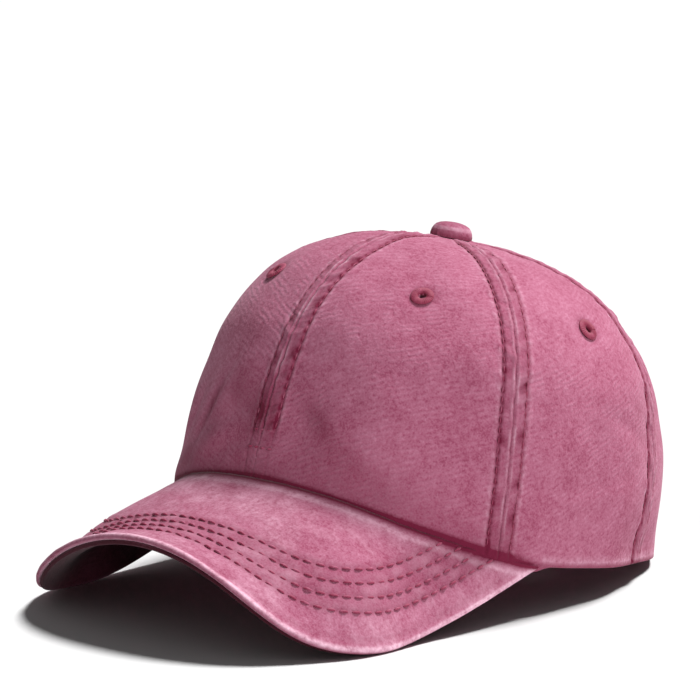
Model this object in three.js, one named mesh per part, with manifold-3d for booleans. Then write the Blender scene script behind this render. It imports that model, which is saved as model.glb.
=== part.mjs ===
// A ponytail baseball cap: six cloth panels, a curved peak, a covered button, stitched eyelets,
// a slit and an arch at the back with bound edges, and a cloth strap with a brass buckle.
//
// The cap is worked out in its own frame: millimetres, Z up, the peak towards -Y, the wearer's
// left towards +X, and the rear hem at height 0. Angles run round the crown from the centre front
// (0) over the wearer's left (90) to the centre back (180). The share "down" runs over each panel
// from the button (0) to the hem (1). At the end the whole cap is tipped onto the surface that it
// stands on: it rests on the two low sides of the peak and on the rear hem.
import * as THREE from 'three';
import Module from 'manifold-3d';
import { mergeVertices } from 'three/addons/utils/BufferGeometryUtils.js';

const wasm = await Module();
wasm.setup();

// General sizes
const CLEARANCE = 0.3;
const DEG = Math.PI / 180;

// Crown: the oval hem, the height and where the button sits
const CROWN_HALF_WIDTH = 83.5;
const CROWN_FRONT_DEPTH = 91.4;
const CROWN_BACK_DEPTH = 103;
const CROWN_HEIGHT = 104.6;
const BUTTON_FORWARD = 3.5;
const FRONT_ROUNDNESS = 0.9;
const BACK_ROUNDNESS = 1.08;
const HEIGHT_POWER = 0.8;
const CLOTH_WALL = 1.6;

// The crown's reach at eight steps from button to hem, as shares of the hem's reach
const CROWN_ROWS = [
  { front: 0, side: 0, back: 0 },
  { front: 0.2585, side: 0.362, back: 0.1453 },
  { front: 0.4505, side: 0.5682, back: 0.321 },
  { front: 0.6087, side: 0.7313, back: 0.5034 },
  { front: 0.7399, side: 0.8533, back: 0.6729 },
  { front: 0.8414, side: 0.946, back: 0.8232 },
  { front: 0.9109, side: 0.9872, back: 0.9207 },
  { front: 0.9662, side: 1.0053, back: 0.9828 },
  { front: 1, side: 1, back: 1 },
];

// Dents and swells of the soft crown: place, size along and across as shares of the crown's
// height, the turn of the long way from level in degrees, and the push outwards as a share of it
const DENTS = [
  { name: 'dip right of the front seam', angle: -12, down: 0.885, along: 0.13, across: 0.085, turn: 20, push: -0.021 },
  { name: 'dip left of the front seam', angle: 9, down: 0.9, along: 0.14, across: 0.1, turn: -35, push: -0.02 },
  { name: 'ridge over the peak', angle: -20, down: 0.95, along: 0.17, across: 0.045, turn: 38, push: 0.013 },
  { name: 'flare by the peak', angle: -44, down: 0.985, along: 0.11, across: 0.07, turn: 0, push: 0.015 },
  { name: 'fold in the right front', angle: -36, down: 0.885, along: 0.11, across: 0.04, turn: 62, push: -0.016 },
  { name: 'swell high in the right front', angle: -20, down: 0.2, along: 0.26, across: 0.22, turn: 0, push: 0.0323 },
  { name: 'swell high in the left back', angle: 131, down: 0.13, along: 0.2, across: 0.16, turn: 0, push: 0.0114 },
  { name: 'dip under that swell', angle: 131, down: 0.27, along: 0.16, across: 0.12, turn: 0, push: -0.0048 },
  { name: 'tuck at the left hem', angle: 112, down: 0.98, along: 0.2, across: 0.1, turn: 0, push: -0.018 },
  { name: 'dip in the right side', angle: -97, down: 0.8, along: 0.22, across: 0.16, turn: 15, push: -0.016 },
];

// Seams: their angles, the raised strip along each, and the seam's own narrow gap
const FRONT_SEAM_ANGLE = -1.2;
const SIDE_SEAM_ANGLE = 63.9;
const BACK_SEAM_ANGLE = 114.5;
const SEAM_STRIP_HALF_WIDTH = 5.2;
const SEAM_STRIP_RISE = 0.7;
const SEAM_SHOULDER = 0.8;

// Eyelets and the covered button
const EYELET_RADIUS = 4.3;
const EYELET_HOLE_RADIUS = 1.5;
const EYELET_BARREL_WALL = 0.9;
const EYELET_RISE = 0.9;
const BUTTON_RADIUS = 7.85;
const BUTTON_DOME = 4.3;
const BUTTON_SHANK_RADIUS = 1.7;
const BUTTON_SHANK_ROOM = 0.5;
const BUTTON_WASHER_RADIUS = 4.5;
const BUTTON_WASHER_THICKNESS = 0.9;

// Each panel's eyelet, and the angles that the panel runs between
const PANELS = [
  { name: 'front_left', from: FRONT_SEAM_ANGLE, to: SIDE_SEAM_ANGLE, eyelet: 33.9, down: 0.4415 },
  { name: 'front_right', from: -SIDE_SEAM_ANGLE, to: FRONT_SEAM_ANGLE, eyelet: -30.9, down: 0.4496 },
  { name: 'side_left', from: SIDE_SEAM_ANGLE, to: BACK_SEAM_ANGLE, eyelet: 89.8, down: 0.47 },
  { name: 'side_right', from: -BACK_SEAM_ANGLE, to: -SIDE_SEAM_ANGLE, eyelet: -89.8, down: 0.47 },
  { name: 'back_left', from: BACK_SEAM_ANGLE, to: 180, eyelet: 138.5, down: 0.485 },
  { name: 'back_right', from: -180, to: -BACK_SEAM_ANGLE, eyelet: -138.5, down: 0.485 },
];

// Peak: a flat pattern bent over a cylinder, two covers thick, with its front lifted above the
// slope by the rise, and with a swell in each wing
const PEAK_BEND_RADIUS = 84.5;
const PEAK_SLOPE = 0.675;
const PEAK_RISE = 15.06;
const PEAK_END_ANGLE = 77;
const PEAK_END_HEIGHT = -4.11;
const PEAK_LENGTH = 57.4;
const PEAK_SIDE_PULL = 104.1;
const PEAK_SIDE_TURN = -7.72;
const PEAK_FRONT_PULL = 76.96;
const PEAK_SWELL = { height: 5.59, bend: 67.9, forward: 14.3, alongBend: 39.7, alongForward: 19.4 };
const PEAK_UPPER_THICKNESS = 1.5;
const PEAK_UNDER_THICKNESS = 1.4;
const RIM_BELOW_PEAK = 2.4;
const PEAK_TUCK = 2.2;
const PEAK_ROOT_GAP = 0.55;
const LEVEL_HEM_ANGLE = 150;

// Sweatband
const SWEATBAND_HEIGHT = 30;
const SWEATBAND_THICKNESS = 1.2;
const SWEATBAND_EASE = 0.5;

// Arch and slit at the back, across and up along the cloth from the hem
const ARCH_HALF_WIDTH = 37.5;
const ARCH_HEIGHT = 54.5;
const ARCH_SQUARENESS = 2.7;
const BINDING_WIDTH = 9.2;
const BINDING_RISE = 0.7;
const BINDING_BACKING = 0.5;
const SLIT_BOTTOM = 66;
const SLIT_TOP = 122;
const SLIT_HALF_WIDTH = 8.7;
const SLIT_BAND_WIDTH = 11;
const SLIT_WIDEST_SHARE = 0.66;

// Strap, its tab and the buckle, across the arch
const STRAP_WIDTH = 18;
const STRAP_THICKNESS = 1.4;
const STRAP_ABOVE_HEM = 4.6;
const STRAP_END_INSET = 1.4;
const BUCKLE_CENTRE = -27;
const BUCKLE_BAR_SPACING = 6.5;
const BUCKLE_WIRE_RADIUS = 0.9;
const BUCKLE_SIDE_ROOM = 0.8;
const TAB_THICKNESS = 0.8;
const TAB_WIDTH = 16.5;

// Where the cloth meets the surface it is pressed flat by this much
const REST_FLAT = 0.5;

// How far the bodies that only cut others reach past them
const CUT_INWARD = 12;
const CUT_BELOW_HEM = 12;
const CUT_PAST_TAB = 2;
const SURFACE_WIDTH = 600;
const SURFACE_DEPTH = 40;

const CLOTH = { color: 0x9a4560, roughness: 0.95, metalness: 0 };
const CLOTH_DARK = { color: 0x6d2a40, roughness: 0.95, metalness: 0 };
const THREAD = { color: 0x8a3a54, roughness: 0.8, metalness: 0 };
const BRASS = { color: 0xa9804a, roughness: 0.35, metalness: 0.9 };

const clamp = (value, low, high) => Math.min(Math.max(value, low), high);
const mix = (from, to, share) => from + (to - from) * share;
const smooth = (share) => {
  const s = clamp(share, 0, 1);
  return s * s * (3 - 2 * s);
};

// The smooth curve through evenly spaced values, at a share from 0 to 1
function throughValues(values, share) {
  const last = values.length - 1;
  const i = clamp(Math.floor(share * last), 0, last - 1);
  const t = share * last - i;
  const p1 = values[i];
  const p2 = values[i + 1];
  const p0 = i > 0 ? values[i - 1] : 2 * p1 - p2;
  const p3 = i + 2 <= last ? values[i + 2] : 2 * p2 - p1;
  return 0.5 * (2 * p1 + (p2 - p0) * t + (2 * p0 - 5 * p1 + 4 * p2 - p3) * t * t
    + (3 * p1 - p0 - 3 * p2 + p3) * t * t * t);
}

// The hem's oval, seen from above
function hemPlan(angle) {
  const c = Math.cos(angle);
  const s = Math.sin(angle);
  const power = c > 0 ? FRONT_ROUNDNESS : BACK_ROUNDNESS;
  const depth = c > 0 ? CROWN_FRONT_DEPTH : CROWN_BACK_DEPTH;
  return {
    x: CROWN_HALF_WIDTH * Math.sign(s) * Math.abs(s) ** power,
    y: -depth * Math.sign(c) * Math.abs(c) ** power,
  };
}

// The peak's upper surface: its height falls to the sides and towards the front
const peakEnd = hemPlan(PEAK_END_ANGLE * DEG);
function bendDrop(x) {
  const reach = Math.min(Math.abs(x), 0.98 * PEAK_BEND_RADIUS);
  return PEAK_BEND_RADIUS - Math.sqrt(PEAK_BEND_RADIUS ** 2 - reach ** 2);
}
const peakRootHeight = PEAK_END_HEIGHT + bendDrop(peakEnd.x)
  - PEAK_SLOPE * (peakEnd.y + CROWN_FRONT_DEPTH);
function peakLift(forward) {
  return PEAK_RISE * (Math.max(forward, 0) / PEAK_LENGTH) ** 2;
}
function peakHeight(x, y) {
  const forward = -(y + CROWN_FRONT_DEPTH);
  return peakRootHeight - bendDrop(x) - PEAK_SLOPE * forward + peakLift(forward);
}

// The hem's height: over the peak it follows the peak, behind it runs down to the level rear hem
function hemHeight(angle) {
  const turn = Math.abs(Math.atan2(Math.sin(angle), Math.cos(angle)));
  const end = PEAK_END_ANGLE * DEG;
  const onPeak = (a) => {
    const p = hemPlan(a);
    return peakHeight(p.x, p.y);
  };
  if (turn < end) return onPeak(turn);
  const span = LEVEL_HEM_ANGLE * DEG - end;
  const t = clamp((turn - end) / span, 0, 1);
  const slope = (onPeak(end) - onPeak(end - 0.001)) / 0.001;
  return (2 * t ** 3 - 3 * t ** 2 + 1) * PEAK_END_HEIGHT + (t ** 3 - 2 * t ** 2 + t) * span * slope;
}

const rowHeights = CROWN_ROWS.map((row, i) => (i === CROWN_ROWS.length - 1
  ? 0
  : Math.cos((i / (CROWN_ROWS.length - 1)) * Math.PI / 2) ** HEIGHT_POWER));
const frontReach = CROWN_ROWS.map((row) => row.front);
const sideReach = CROWN_ROWS.map((row) => row.side);
const backReach = CROWN_ROWS.map((row) => row.back);

// A point of the smooth crown, before dents and seam strips
function smoothCrown(angle, down) {
  const c = Math.cos(angle);
  const side = throughValues(sideReach, down);
  const end = throughValues(c > 0 ? frontReach : backReach, down);
  const reach = side + (end - side) * c * c;
  const hem = hemPlan(angle);
  const z0 = hemHeight(angle);
  return new THREE.Vector3(
    hem.x * reach,
    -BUTTON_FORWARD + (hem.y + BUTTON_FORWARD) * reach,
    z0 + (CROWN_HEIGHT - z0) * throughValues(rowHeights, down),
  );
}

function smoothNormal(angle, down) {
  const step = 0.004;
  const d = clamp(down, 0.02, 1 - step);
  const round = smoothCrown(angle + step, d).sub(smoothCrown(angle - step, d));
  const fall = smoothCrown(angle, d + step).sub(smoothCrown(angle, d - step));
  return fall.cross(round).normalize();
}

// How far each dent pushes the cloth out at a point of the crown
const dentPlaces = DENTS.map((dent) => ({
  ...dent,
  centre: smoothCrown(dent.angle * DEG, dent.down),
  ahead: smoothCrown(dent.angle * DEG + 0.01, dent.down),
}));
function dentPush(point) {
  let push = 0;
  for (const dent of dentPlaces) {
    const level = dent.ahead.clone().sub(dent.centre).setZ(0).normalize();
    const from = point.clone().sub(dent.centre);
    const sideways = from.dot(level);
    const upwards = from.z;
    const depth = from.dot(new THREE.Vector3(-level.y, level.x, 0));
    const turn = dent.turn * DEG;
    const u = (sideways * Math.cos(turn) + upwards * Math.sin(turn)) / (dent.along * CROWN_HEIGHT);
    const v = (upwards * Math.cos(turn) - sideways * Math.sin(turn)) / (dent.across * CROWN_HEIGHT);
    const w = depth / (0.5 * CROWN_HEIGHT);
    push += dent.push * CROWN_HEIGHT * Math.exp(-(u * u + v * v + w * w));
  }
  return push;
}

// The crown's outer face, or any surface at a height above (or below) it
function crownSurface(angle, down, lift = 0) {
  const point = smoothCrown(angle, down);
  const normal = smoothNormal(angle, down);
  return point.clone().addScaledVector(normal, lift + dentPush(point));
}

// Millimetres round the crown for one radian at a place
function roundScale(angle, down) {
  const step = 0.01;
  return smoothCrown(angle + step, down).distanceTo(smoothCrown(angle - step, down)) / (2 * step);
}

// The share down at which the crown is some distance out from the button's middle
function shareAt(angle, distance) {
  let low = 0;
  let high = 0.4;
  for (let i = 0; i < 30; i += 1) {
    const middle = (low + high) / 2;
    const p = smoothCrown(angle, middle);
    if (Math.hypot(p.x, p.y + BUTTON_FORWARD) < distance) low = middle;
    else high = middle;
  }
  return high;
}

// The panels stop short of the button's shank
const shankHole = BUTTON_SHANK_RADIUS + CLEARANCE + BUTTON_SHANK_ROOM;
const panelTop = (angle) => shareAt(angle, shankHole);

// A closed body between two grids of points that have the same rows and columns
function bodyBetween(outer, inner) {
  const rows = outer.length;
  const columns = outer[0].length;
  const positions = [...outer.flat(), ...inner.flat()].flatMap((p) => [p.x, p.y, p.z]);
  const at = (layer, r, c) => layer * rows * columns + r * columns + c;
  const index = [];
  const quad = (a, b, c, d) => index.push(a, b, c, a, c, d);
  for (let r = 0; r + 1 < rows; r += 1) {
    for (let c = 0; c + 1 < columns; c += 1) {
      quad(at(0, r, c), at(0, r + 1, c), at(0, r + 1, c + 1), at(0, r, c + 1));
      quad(at(1, r, c), at(1, r, c + 1), at(1, r + 1, c + 1), at(1, r + 1, c));
    }
    quad(at(0, r, 0), at(1, r, 0), at(1, r + 1, 0), at(0, r + 1, 0));
    const e = columns - 1;
    quad(at(0, r, e), at(0, r + 1, e), at(1, r + 1, e), at(1, r, e));
  }
  for (let c = 0; c + 1 < columns; c += 1) {
    quad(at(0, 0, c), at(0, 0, c + 1), at(1, 0, c + 1), at(1, 0, c));
    const e = rows - 1;
    quad(at(0, e, c), at(1, e, c), at(1, e, c + 1), at(0, e, c + 1));
  }
  return outward(indexed(positions, index));
}

// A closed body along a row of equal outlines; the row closes on itself or is capped at both ends
function bodyAlong(outlines, closed) {
  const count = outlines.length;
  const sides = outlines[0].length;
  const positions = outlines.flat().flatMap((p) => [p.x, p.y, p.z]);
  const index = [];
  const lastStep = closed ? count : count - 1;
  for (let i = 0; i < lastStep; i += 1) {
    for (let j = 0; j < sides; j += 1) {
      const a = i * sides + j;
      const b = i * sides + (j + 1) % sides;
      const c = ((i + 1) % count) * sides + (j + 1) % sides;
      const d = ((i + 1) % count) * sides + j;
      index.push(a, b, c, a, c, d);
    }
  }
  if (!closed) {
    for (let j = 1; j + 1 < sides; j += 1) {
      index.push(0, j + 1, j);
      const end = (count - 1) * sides;
      index.push(end, end + j, end + j + 1);
    }
  }
  return outward(indexed(positions, index));
}

function indexed(positions, index) {
  const geometry = new THREE.BufferGeometry();
  geometry.setAttribute('position', new THREE.Float32BufferAttribute(positions, 3));
  geometry.setIndex(index);
  return geometry;
}

// Turns the faces round when they point inwards
function outward(geometry) {
  const p = geometry.getAttribute('position');
  const index = Array.from(geometry.getIndex().array);
  const a = new THREE.Vector3();
  const b = new THREE.Vector3();
  const c = new THREE.Vector3();
  let volume = 0;
  for (let i = 0; i < index.length; i += 3) {
    a.fromBufferAttribute(p, index[i]);
    b.fromBufferAttribute(p, index[i + 1]);
    c.fromBufferAttribute(p, index[i + 2]);
    volume += a.dot(b.cross(c));
  }
  if (volume < 0) {
    for (let i = 0; i < index.length; i += 3) {
      [index[i + 1], index[i + 2]] = [index[i + 2], index[i + 1]];
    }
    geometry.setIndex(index);
  }
  return geometry;
}

function solidOf(geometry) {
  const bare = geometry.clone();
  bare.deleteAttribute('normal');
  bare.deleteAttribute('uv');
  const merged = mergeVertices(bare, 1e-4);
  return new wasm.Manifold(new wasm.Mesh({
    numProp: 3,
    vertProperties: new Float32Array(merged.getAttribute('position').array),
    triVerts: new Uint32Array(merged.getIndex().array),
  }));
}

function geometryOf(solid) {
  const mesh = solid.getMesh();
  return indexed(Array.from(mesh.vertProperties), Array.from(mesh.triVerts));
}

// What is left of a body outside the tools; crumbs that a cut leaves behind are dropped
function cut(geometry, ...tools) {
  let solid = solidOf(geometry);
  for (const tool of tools) solid = solid.subtract(solidOf(tool));
  const bodies = solid.decompose().sort((a, b) => b.volume() - a.volume());
  return geometryOf(bodies[0]);
}

// Columns across a panel: close together on the seam strips, even between them
const INNER_COLUMNS = 5;
function panelAngles(from, to, down) {
  const strip = [CLEARANCE / 2, SEAM_STRIP_HALF_WIDTH * 0.5, SEAM_STRIP_HALF_WIDTH,
    SEAM_STRIP_HALF_WIDTH + SEAM_SHOULDER];
  const fromScale = roundScale(from, down);
  const toScale = roundScale(to, down);
  const room = Math.min(1, (0.7 * (to - from)) / (strip[3] / fromScale + strip[3] / toScale));
  const steps = strip.map((d, i) => (i === 0 ? d : mix(strip[0], d, room)));
  const fromSide = steps.map((d) => from + d / fromScale);
  const toSide = steps.map((d) => to - d / toScale).reverse();
  const middle = [];
  for (let i = 1; i <= INNER_COLUMNS; i += 1) {
    middle.push(mix(fromSide[3], toSide[0], i / (INNER_COLUMNS + 1)));
  }
  return [...fromSide, ...middle, ...toSide];
}

// The seam strip's rise at a distance from the seam
const PANEL_ROWS = [0, 0.05, 0.12, 0.2, 0.29, 0.38, 0.47, 0.56, 0.65, 0.74, 0.82, 0.89, 0.945, 1];
function stripRise(column, columns) {
  const fromEdge = Math.min(column, columns - 1 - column);
  return fromEdge <= 2 ? SEAM_STRIP_RISE : 0;
}

// The rim runs a little below the peak's upper face, and ends level with the hem behind it
function rimBelow(angle) {
  const turn = Math.abs(Math.atan2(Math.sin(angle), Math.cos(angle))) / DEG;
  return RIM_BELOW_PEAK * (1 - smooth((turn - PEAK_END_ANGLE + 3) / 6));
}

// A panel's grid of places on the crown, from the button down to the hem
function panelPlaces(fromDegrees, toDegrees) {
  const from = fromDegrees * DEG;
  const to = toDegrees * DEG;
  return PANEL_ROWS.map((share) => {
    const middleDown = mix(panelTop((from + to) / 2), 1, share);
    return panelAngles(from, to, middleDown).map((angle) => ({
      angle,
      down: mix(panelTop(angle), 1, share),
    }));
  });
}

function panel(fromDegrees, toDegrees) {
  const places = panelPlaces(fromDegrees, toDegrees);
  const outer = places.map((row, r) => row.map((place, c) => {
    const rise = r === places.length - 1 ? 0 : stripRise(c, row.length);
    return crownSurface(place.angle, place.down, rise);
  }));
  const inner = places.map((row) => row.map((p) => crownSurface(p.angle, p.down, -CLOTH_WALL)));
  const rim = places.at(-1);
  outer.push(outer.at(-1).map((p, c) => p.clone().setZ(p.z - rimBelow(rim[c].angle) - 0.01)));
  inner.push(inner.at(-1).map((p, c) => p.clone().setZ(outer.at(-1)[c].z)));
  return bodyBetween(outer, inner);
}

// The back of the crown as a sheet: across from the centre line, and up from the hem along it
const BACK_STEPS = 240;
const backLengths = [0];
for (let i = 1; i <= BACK_STEPS; i += 1) {
  const here = smoothCrown(Math.PI, 1 - i / BACK_STEPS);
  const before = smoothCrown(Math.PI, 1 - (i - 1) / BACK_STEPS);
  backLengths.push(backLengths[i - 1] + here.distanceTo(before));
}
function backPlace(across, up) {
  const length = Math.max(up, 0);
  let i = backLengths.findIndex((l) => l > length);
  if (i < 1) i = i === 0 ? 1 : BACK_STEPS;
  const share = (length - backLengths[i - 1]) / (backLengths[i] - backLengths[i - 1]);
  const down = 1 - (i - 1 + share) / BACK_STEPS;
  let low = 0;
  let high = Math.PI / 2;
  for (let k = 0; k < 34; k += 1) {
    const middle = (low + high) / 2;
    if (smoothCrown(Math.PI - middle, down).x < Math.abs(across)) low = middle;
    else high = middle;
  }
  return { angle: Math.PI - Math.sign(across) * high, down, below: Math.min(up, 0) };
}
function backPoint(across, up, lift) {
  const place = backPlace(across, up);
  const p = crownSurface(place.angle, place.down, lift);
  return p.setZ(p.z + place.below);
}

// A cutter that goes through the back of the crown inside an outline of across and up values.
// Its flat ends span the bulge of the crown, so it reaches well past the cloth outside.
const archReach = ARCH_HALF_WIDTH + BINDING_WIDTH;
function backCutter(outline, reach) {
  const flat = outline.map((p) => new THREE.Vector2(p.across, p.up));
  const faces = THREE.ShapeUtils.triangulateShape(flat, []);
  const above = outline.map((p) => backPoint(p.across, p.up, reach));
  const below = outline.map((p) => backPoint(p.across, p.up, -CUT_INWARD));
  const positions = [...above, ...below].flatMap((p) => [p.x, p.y, p.z]);
  const n = outline.length;
  const index = [];
  for (const [a, b, c] of faces) index.push(a, b, c, n + a, n + c, n + b);
  const turned = THREE.ShapeUtils.isClockWise(flat);
  for (let i = 0; i < n; i += 1) {
    const j = (i + 1) % n;
    if (turned) index.push(i, j, n + j, i, n + j, n + i);
    else index.push(i, n + i, n + j, i, n + j, j);
  }
  return outward(indexed(positions, index));
}

// Arch: its inner edge grown outwards by some width, from the hem on one side to the other
const ARCH_STEPS = 26;
function archEdge(grow, step) {
  const t = (step / ARCH_STEPS) * Math.PI;
  const c = Math.cos(t);
  const s = Math.sin(t);
  return {
    across: (ARCH_HALF_WIDTH + grow) * Math.sign(c) * Math.abs(c) ** (2 / ARCH_SQUARENESS),
    up: (ARCH_HEIGHT + grow) * Math.abs(s) ** (2 / ARCH_SQUARENESS),
  };
}
function archOutline(grow, below) {
  const points = [];
  for (let i = 0; i <= ARCH_STEPS; i += 1) points.push(archEdge(grow, i));
  points[0].up = 0;
  points[ARCH_STEPS].up = 0;
  return [{ across: points[0].across, up: -below }, ...points,
    { across: points[ARCH_STEPS].across, up: -below }];
}

// Slit: a leaf with its widest place above the middle and a point at the bottom
const SLIT_STEPS = 30;
function slitEdge(grow, step) {
  const t = (step / SLIT_STEPS) * 2 * Math.PI;
  const height = SLIT_TOP - SLIT_BOTTOM;
  const share = (1 - Math.cos(t)) / 2;
  const bottomRound = smooth(share / SLIT_WIDEST_SHARE);
  const topRound = Math.sqrt(Math.max(0, 1 - (clamp((share - SLIT_WIDEST_SHARE)
    / (1 - SLIT_WIDEST_SHARE), 0, 1)) ** 2.4));
  const half = SLIT_HALF_WIDTH * (share < SLIT_WIDEST_SHARE ? bottomRound : topRound);
  const side = Math.sin(t) >= 0 ? 1 : -1;
  const flare = Math.max(0.02, Math.min(1, bottomRound + 0.75));
  return {
    across: side * (half + grow * flare * Math.abs(Math.sin(t)) ** 0.45),
    up: SLIT_BOTTOM + height * share - grow * Math.cos(t),
  };
}
function slitOutline(grow) {
  const points = [];
  for (let i = 0; i < SLIT_STEPS; i += 1) points.push(slitEdge(grow, i));
  return points;
}

// A binding's section between its inner and outer edge: flat, with a piped ridge near the outer edge
const BINDING_SECTION = [
  { across: 0, lift: -1, ridge: 0 },
  { across: 0, lift: 0.35, ridge: 0 },
  { across: 0.1, lift: 1, ridge: 0 },
  { across: 0.68, lift: 1, ridge: 0 },
  { across: 0.84, lift: 1, ridge: 0.6 },
  { across: 1, lift: 0.35, ridge: 0 },
  { across: 1, lift: -1, ridge: 0 },
];
function bindingSection(innerEdge, outerEdge) {
  return BINDING_SECTION.map((row) => {
    const lift = row.lift > 0 ? BINDING_RISE * row.lift + row.ridge * BINDING_RISE
      : -(CLOTH_WALL + BINDING_BACKING);
    return backPoint(mix(innerEdge.across, outerEdge.across, row.across),
      mix(innerEdge.up, outerEdge.up, row.across), lift);
  });
}
function archBinding() {
  const outlines = [];
  for (let i = 0; i <= ARCH_STEPS; i += 1) {
    const innerEdge = archEdge(0, i);
    const outerEdge = archEdge(BINDING_WIDTH, i);
    outlines.push(bindingSection(innerEdge, outerEdge));
  }
  return bodyAlong(outlines, false);
}
function slitBinding() {
  const outlines = [];
  for (let i = 0; i < SLIT_STEPS; i += 1) {
    outlines.push(bindingSection(slitEdge(0, i), slitEdge(SLIT_BAND_WIDTH, i)));
  }
  return bodyAlong(outlines, true);
}

// Places a shape made about Z onto the crown, with Z along the cloth's normal
function onCrown(geometry, angle, down) {
  const normal = smoothNormal(angle, down);
  const turn = new THREE.Quaternion().setFromUnitVectors(new THREE.Vector3(0, 0, 1), normal);
  return geometry.applyQuaternion(turn).translate(...crownSurface(angle, down).toArray());
}

function lathe(profile, segments) {
  const geometry = new THREE.LatheGeometry(profile.map(([r, z]) => new THREE.Vector2(r, z)), segments);
  geometry.rotateX(Math.PI / 2);
  geometry.deleteAttribute('normal');
  geometry.deleteAttribute('uv');
  return outward(mergeVertices(geometry, 1e-4));
}

function eyelet(angle, down) {
  const barrel = EYELET_HOLE_RADIUS + EYELET_BARREL_WALL;
  const inside = -(CLOTH_WALL + CLEARANCE);
  return onCrown(lathe([
    [EYELET_HOLE_RADIUS, inside],
    [barrel, inside],
    [barrel, CLEARANCE],
    [EYELET_RADIUS, CLEARANCE],
    [EYELET_RADIUS - 0.5, EYELET_RISE],
    [EYELET_HOLE_RADIUS + 0.6, EYELET_RISE],
    [EYELET_HOLE_RADIUS, CLEARANCE],
    [EYELET_HOLE_RADIUS, inside],
  ], 14), angle, down);
}

function eyeletHole(angle, down) {
  const radius = EYELET_HOLE_RADIUS + EYELET_BARREL_WALL + CLEARANCE;
  const drill = new THREE.CylinderGeometry(radius, radius, 8 * CLOTH_WALL, 14);
  drill.rotateX(Math.PI / 2);
  return onCrown(drill, angle, down);
}

// A ring of the crown's points round the button's middle
const SEAT_STEPS = 12;
function crownRing(radius) {
  const ring = [];
  for (let i = 0; i < SEAT_STEPS; i += 1) {
    const angle = (i / SEAT_STEPS) * 2 * Math.PI;
    ring.push(crownSurface(angle, shareAt(angle, radius)));
  }
  return ring;
}

// The button leans with the crown: its axis stands square to the cloth under its rim
function topButton() {
  const rim = crownRing(BUTTON_RADIUS);
  const middle = new THREE.Vector3();
  for (const p of rim) middle.addScaledVector(p, 1 / SEAT_STEPS);
  const quarter = SEAT_STEPS / 4;
  const forwards = rim[0].clone().sub(rim[2 * quarter]);
  const sideways = rim[quarter].clone().sub(rim[3 * quarter]);
  const axis = forwards.cross(sideways).normalize();
  const heights = [shankHole, BUTTON_WASHER_RADIUS, BUTTON_RADIUS].map((radius) => (
    crownRing(radius).map((p) => p.sub(middle).dot(axis))));
  const under = Math.max(...heights.flat()) + SEAM_STRIP_RISE + CLEARANCE;
  const inside = Math.min(...heights[0], ...heights[1]) - CLOTH_WALL - CLEARANCE;
  const button = lathe([
    [0, inside - BUTTON_WASHER_THICKNESS],
    [BUTTON_WASHER_RADIUS, inside - BUTTON_WASHER_THICKNESS],
    [BUTTON_WASHER_RADIUS, inside],
    [BUTTON_SHANK_RADIUS, inside],
    [BUTTON_SHANK_RADIUS, under],
    [BUTTON_RADIUS - 0.5, under],
    [BUTTON_RADIUS, under + 0.22 * BUTTON_DOME],
    [BUTTON_RADIUS * 0.93, under + 0.55 * BUTTON_DOME],
    [BUTTON_RADIUS * 0.7, under + 0.85 * BUTTON_DOME],
    [BUTTON_RADIUS * 0.36, under + 0.98 * BUTTON_DOME],
    [0, under + BUTTON_DOME],
  ], 20);
  const turn = new THREE.Quaternion().setFromUnitVectors(new THREE.Vector3(0, 0, 1), axis);
  return button.applyQuaternion(turn).translate(...middle.toArray());
}

// The peak's flat pattern: along the bend, and forward from the crown's front
const PEAK_COLUMNS = 30;
const PEAK_ROWS = [0, 0.18, 0.38, 0.59, 0.81, 1];
const PEAK_SPAN = 0.975;
function peakRoot(t) {
  const p = hemPlan(t * PEAK_END_ANGLE * DEG);
  const inside = 1 - PEAK_TUCK / Math.hypot(p.x, p.y);
  return {
    bend: PEAK_BEND_RADIUS * Math.asin(clamp((p.x * inside) / PEAK_BEND_RADIUS, -0.98, 0.98)),
    forward: -(p.y * inside + CROWN_FRONT_DEPTH),
  };
}
function peakFront(t) {
  const s = 1 - Math.abs(t);
  const turn = PEAK_SIDE_TURN * DEG;
  const endBend = PEAK_BEND_RADIUS * Math.asin(Math.min(peakEnd.x / PEAK_BEND_RADIUS, 0.98));
  const endForward = -(peakEnd.y + CROWN_FRONT_DEPTH);
  const points = [
    [endBend, endForward],
    [endBend + PEAK_SIDE_PULL * Math.sin(turn), endForward + PEAK_SIDE_PULL * Math.cos(turn)],
    [PEAK_FRONT_PULL, PEAK_LENGTH],
    [0, PEAK_LENGTH],
  ];
  const weights = [(1 - s) ** 3, 3 * s * (1 - s) ** 2, 3 * s * s * (1 - s), s ** 3];
  const sum = (k) => points.reduce((total, p, i) => total + weights[i] * p[k], 0);
  return { bend: Math.sign(t) * sum(0), forward: sum(1) };
}
function wingSwell(bend, forward) {
  const alongBend = (Math.abs(bend) - PEAK_SWELL.bend) / PEAK_SWELL.alongBend;
  const alongForward = (forward - PEAK_SWELL.forward) / PEAK_SWELL.alongForward;
  return PEAK_SWELL.height * Math.exp(-(alongBend ** 2) - alongForward ** 2);
}
function peakPoint(flat, lift) {
  const at = (b, f) => {
    const turn = clamp(b / PEAK_BEND_RADIUS, -1.4, 1.4);
    const radius = PEAK_BEND_RADIUS + wingSwell(b, f);
    const axisHeight = peakRootHeight - PEAK_BEND_RADIUS - PEAK_SLOPE * f + peakLift(f);
    return new THREE.Vector3(
      radius * Math.sin(turn),
      -f - CROWN_FRONT_DEPTH,
      axisHeight + radius * Math.cos(turn),
    );
  };
  const step = 0.05;
  const sideways = at(flat.bend + step, flat.forward).sub(at(flat.bend - step, flat.forward));
  const forwards = at(flat.bend, flat.forward + step).sub(at(flat.bend, flat.forward - step));
  const normal = forwards.cross(sideways).normalize();
  if (normal.z < 0) normal.negate();
  return at(flat.bend, flat.forward).addScaledVector(normal, lift);
}
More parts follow.
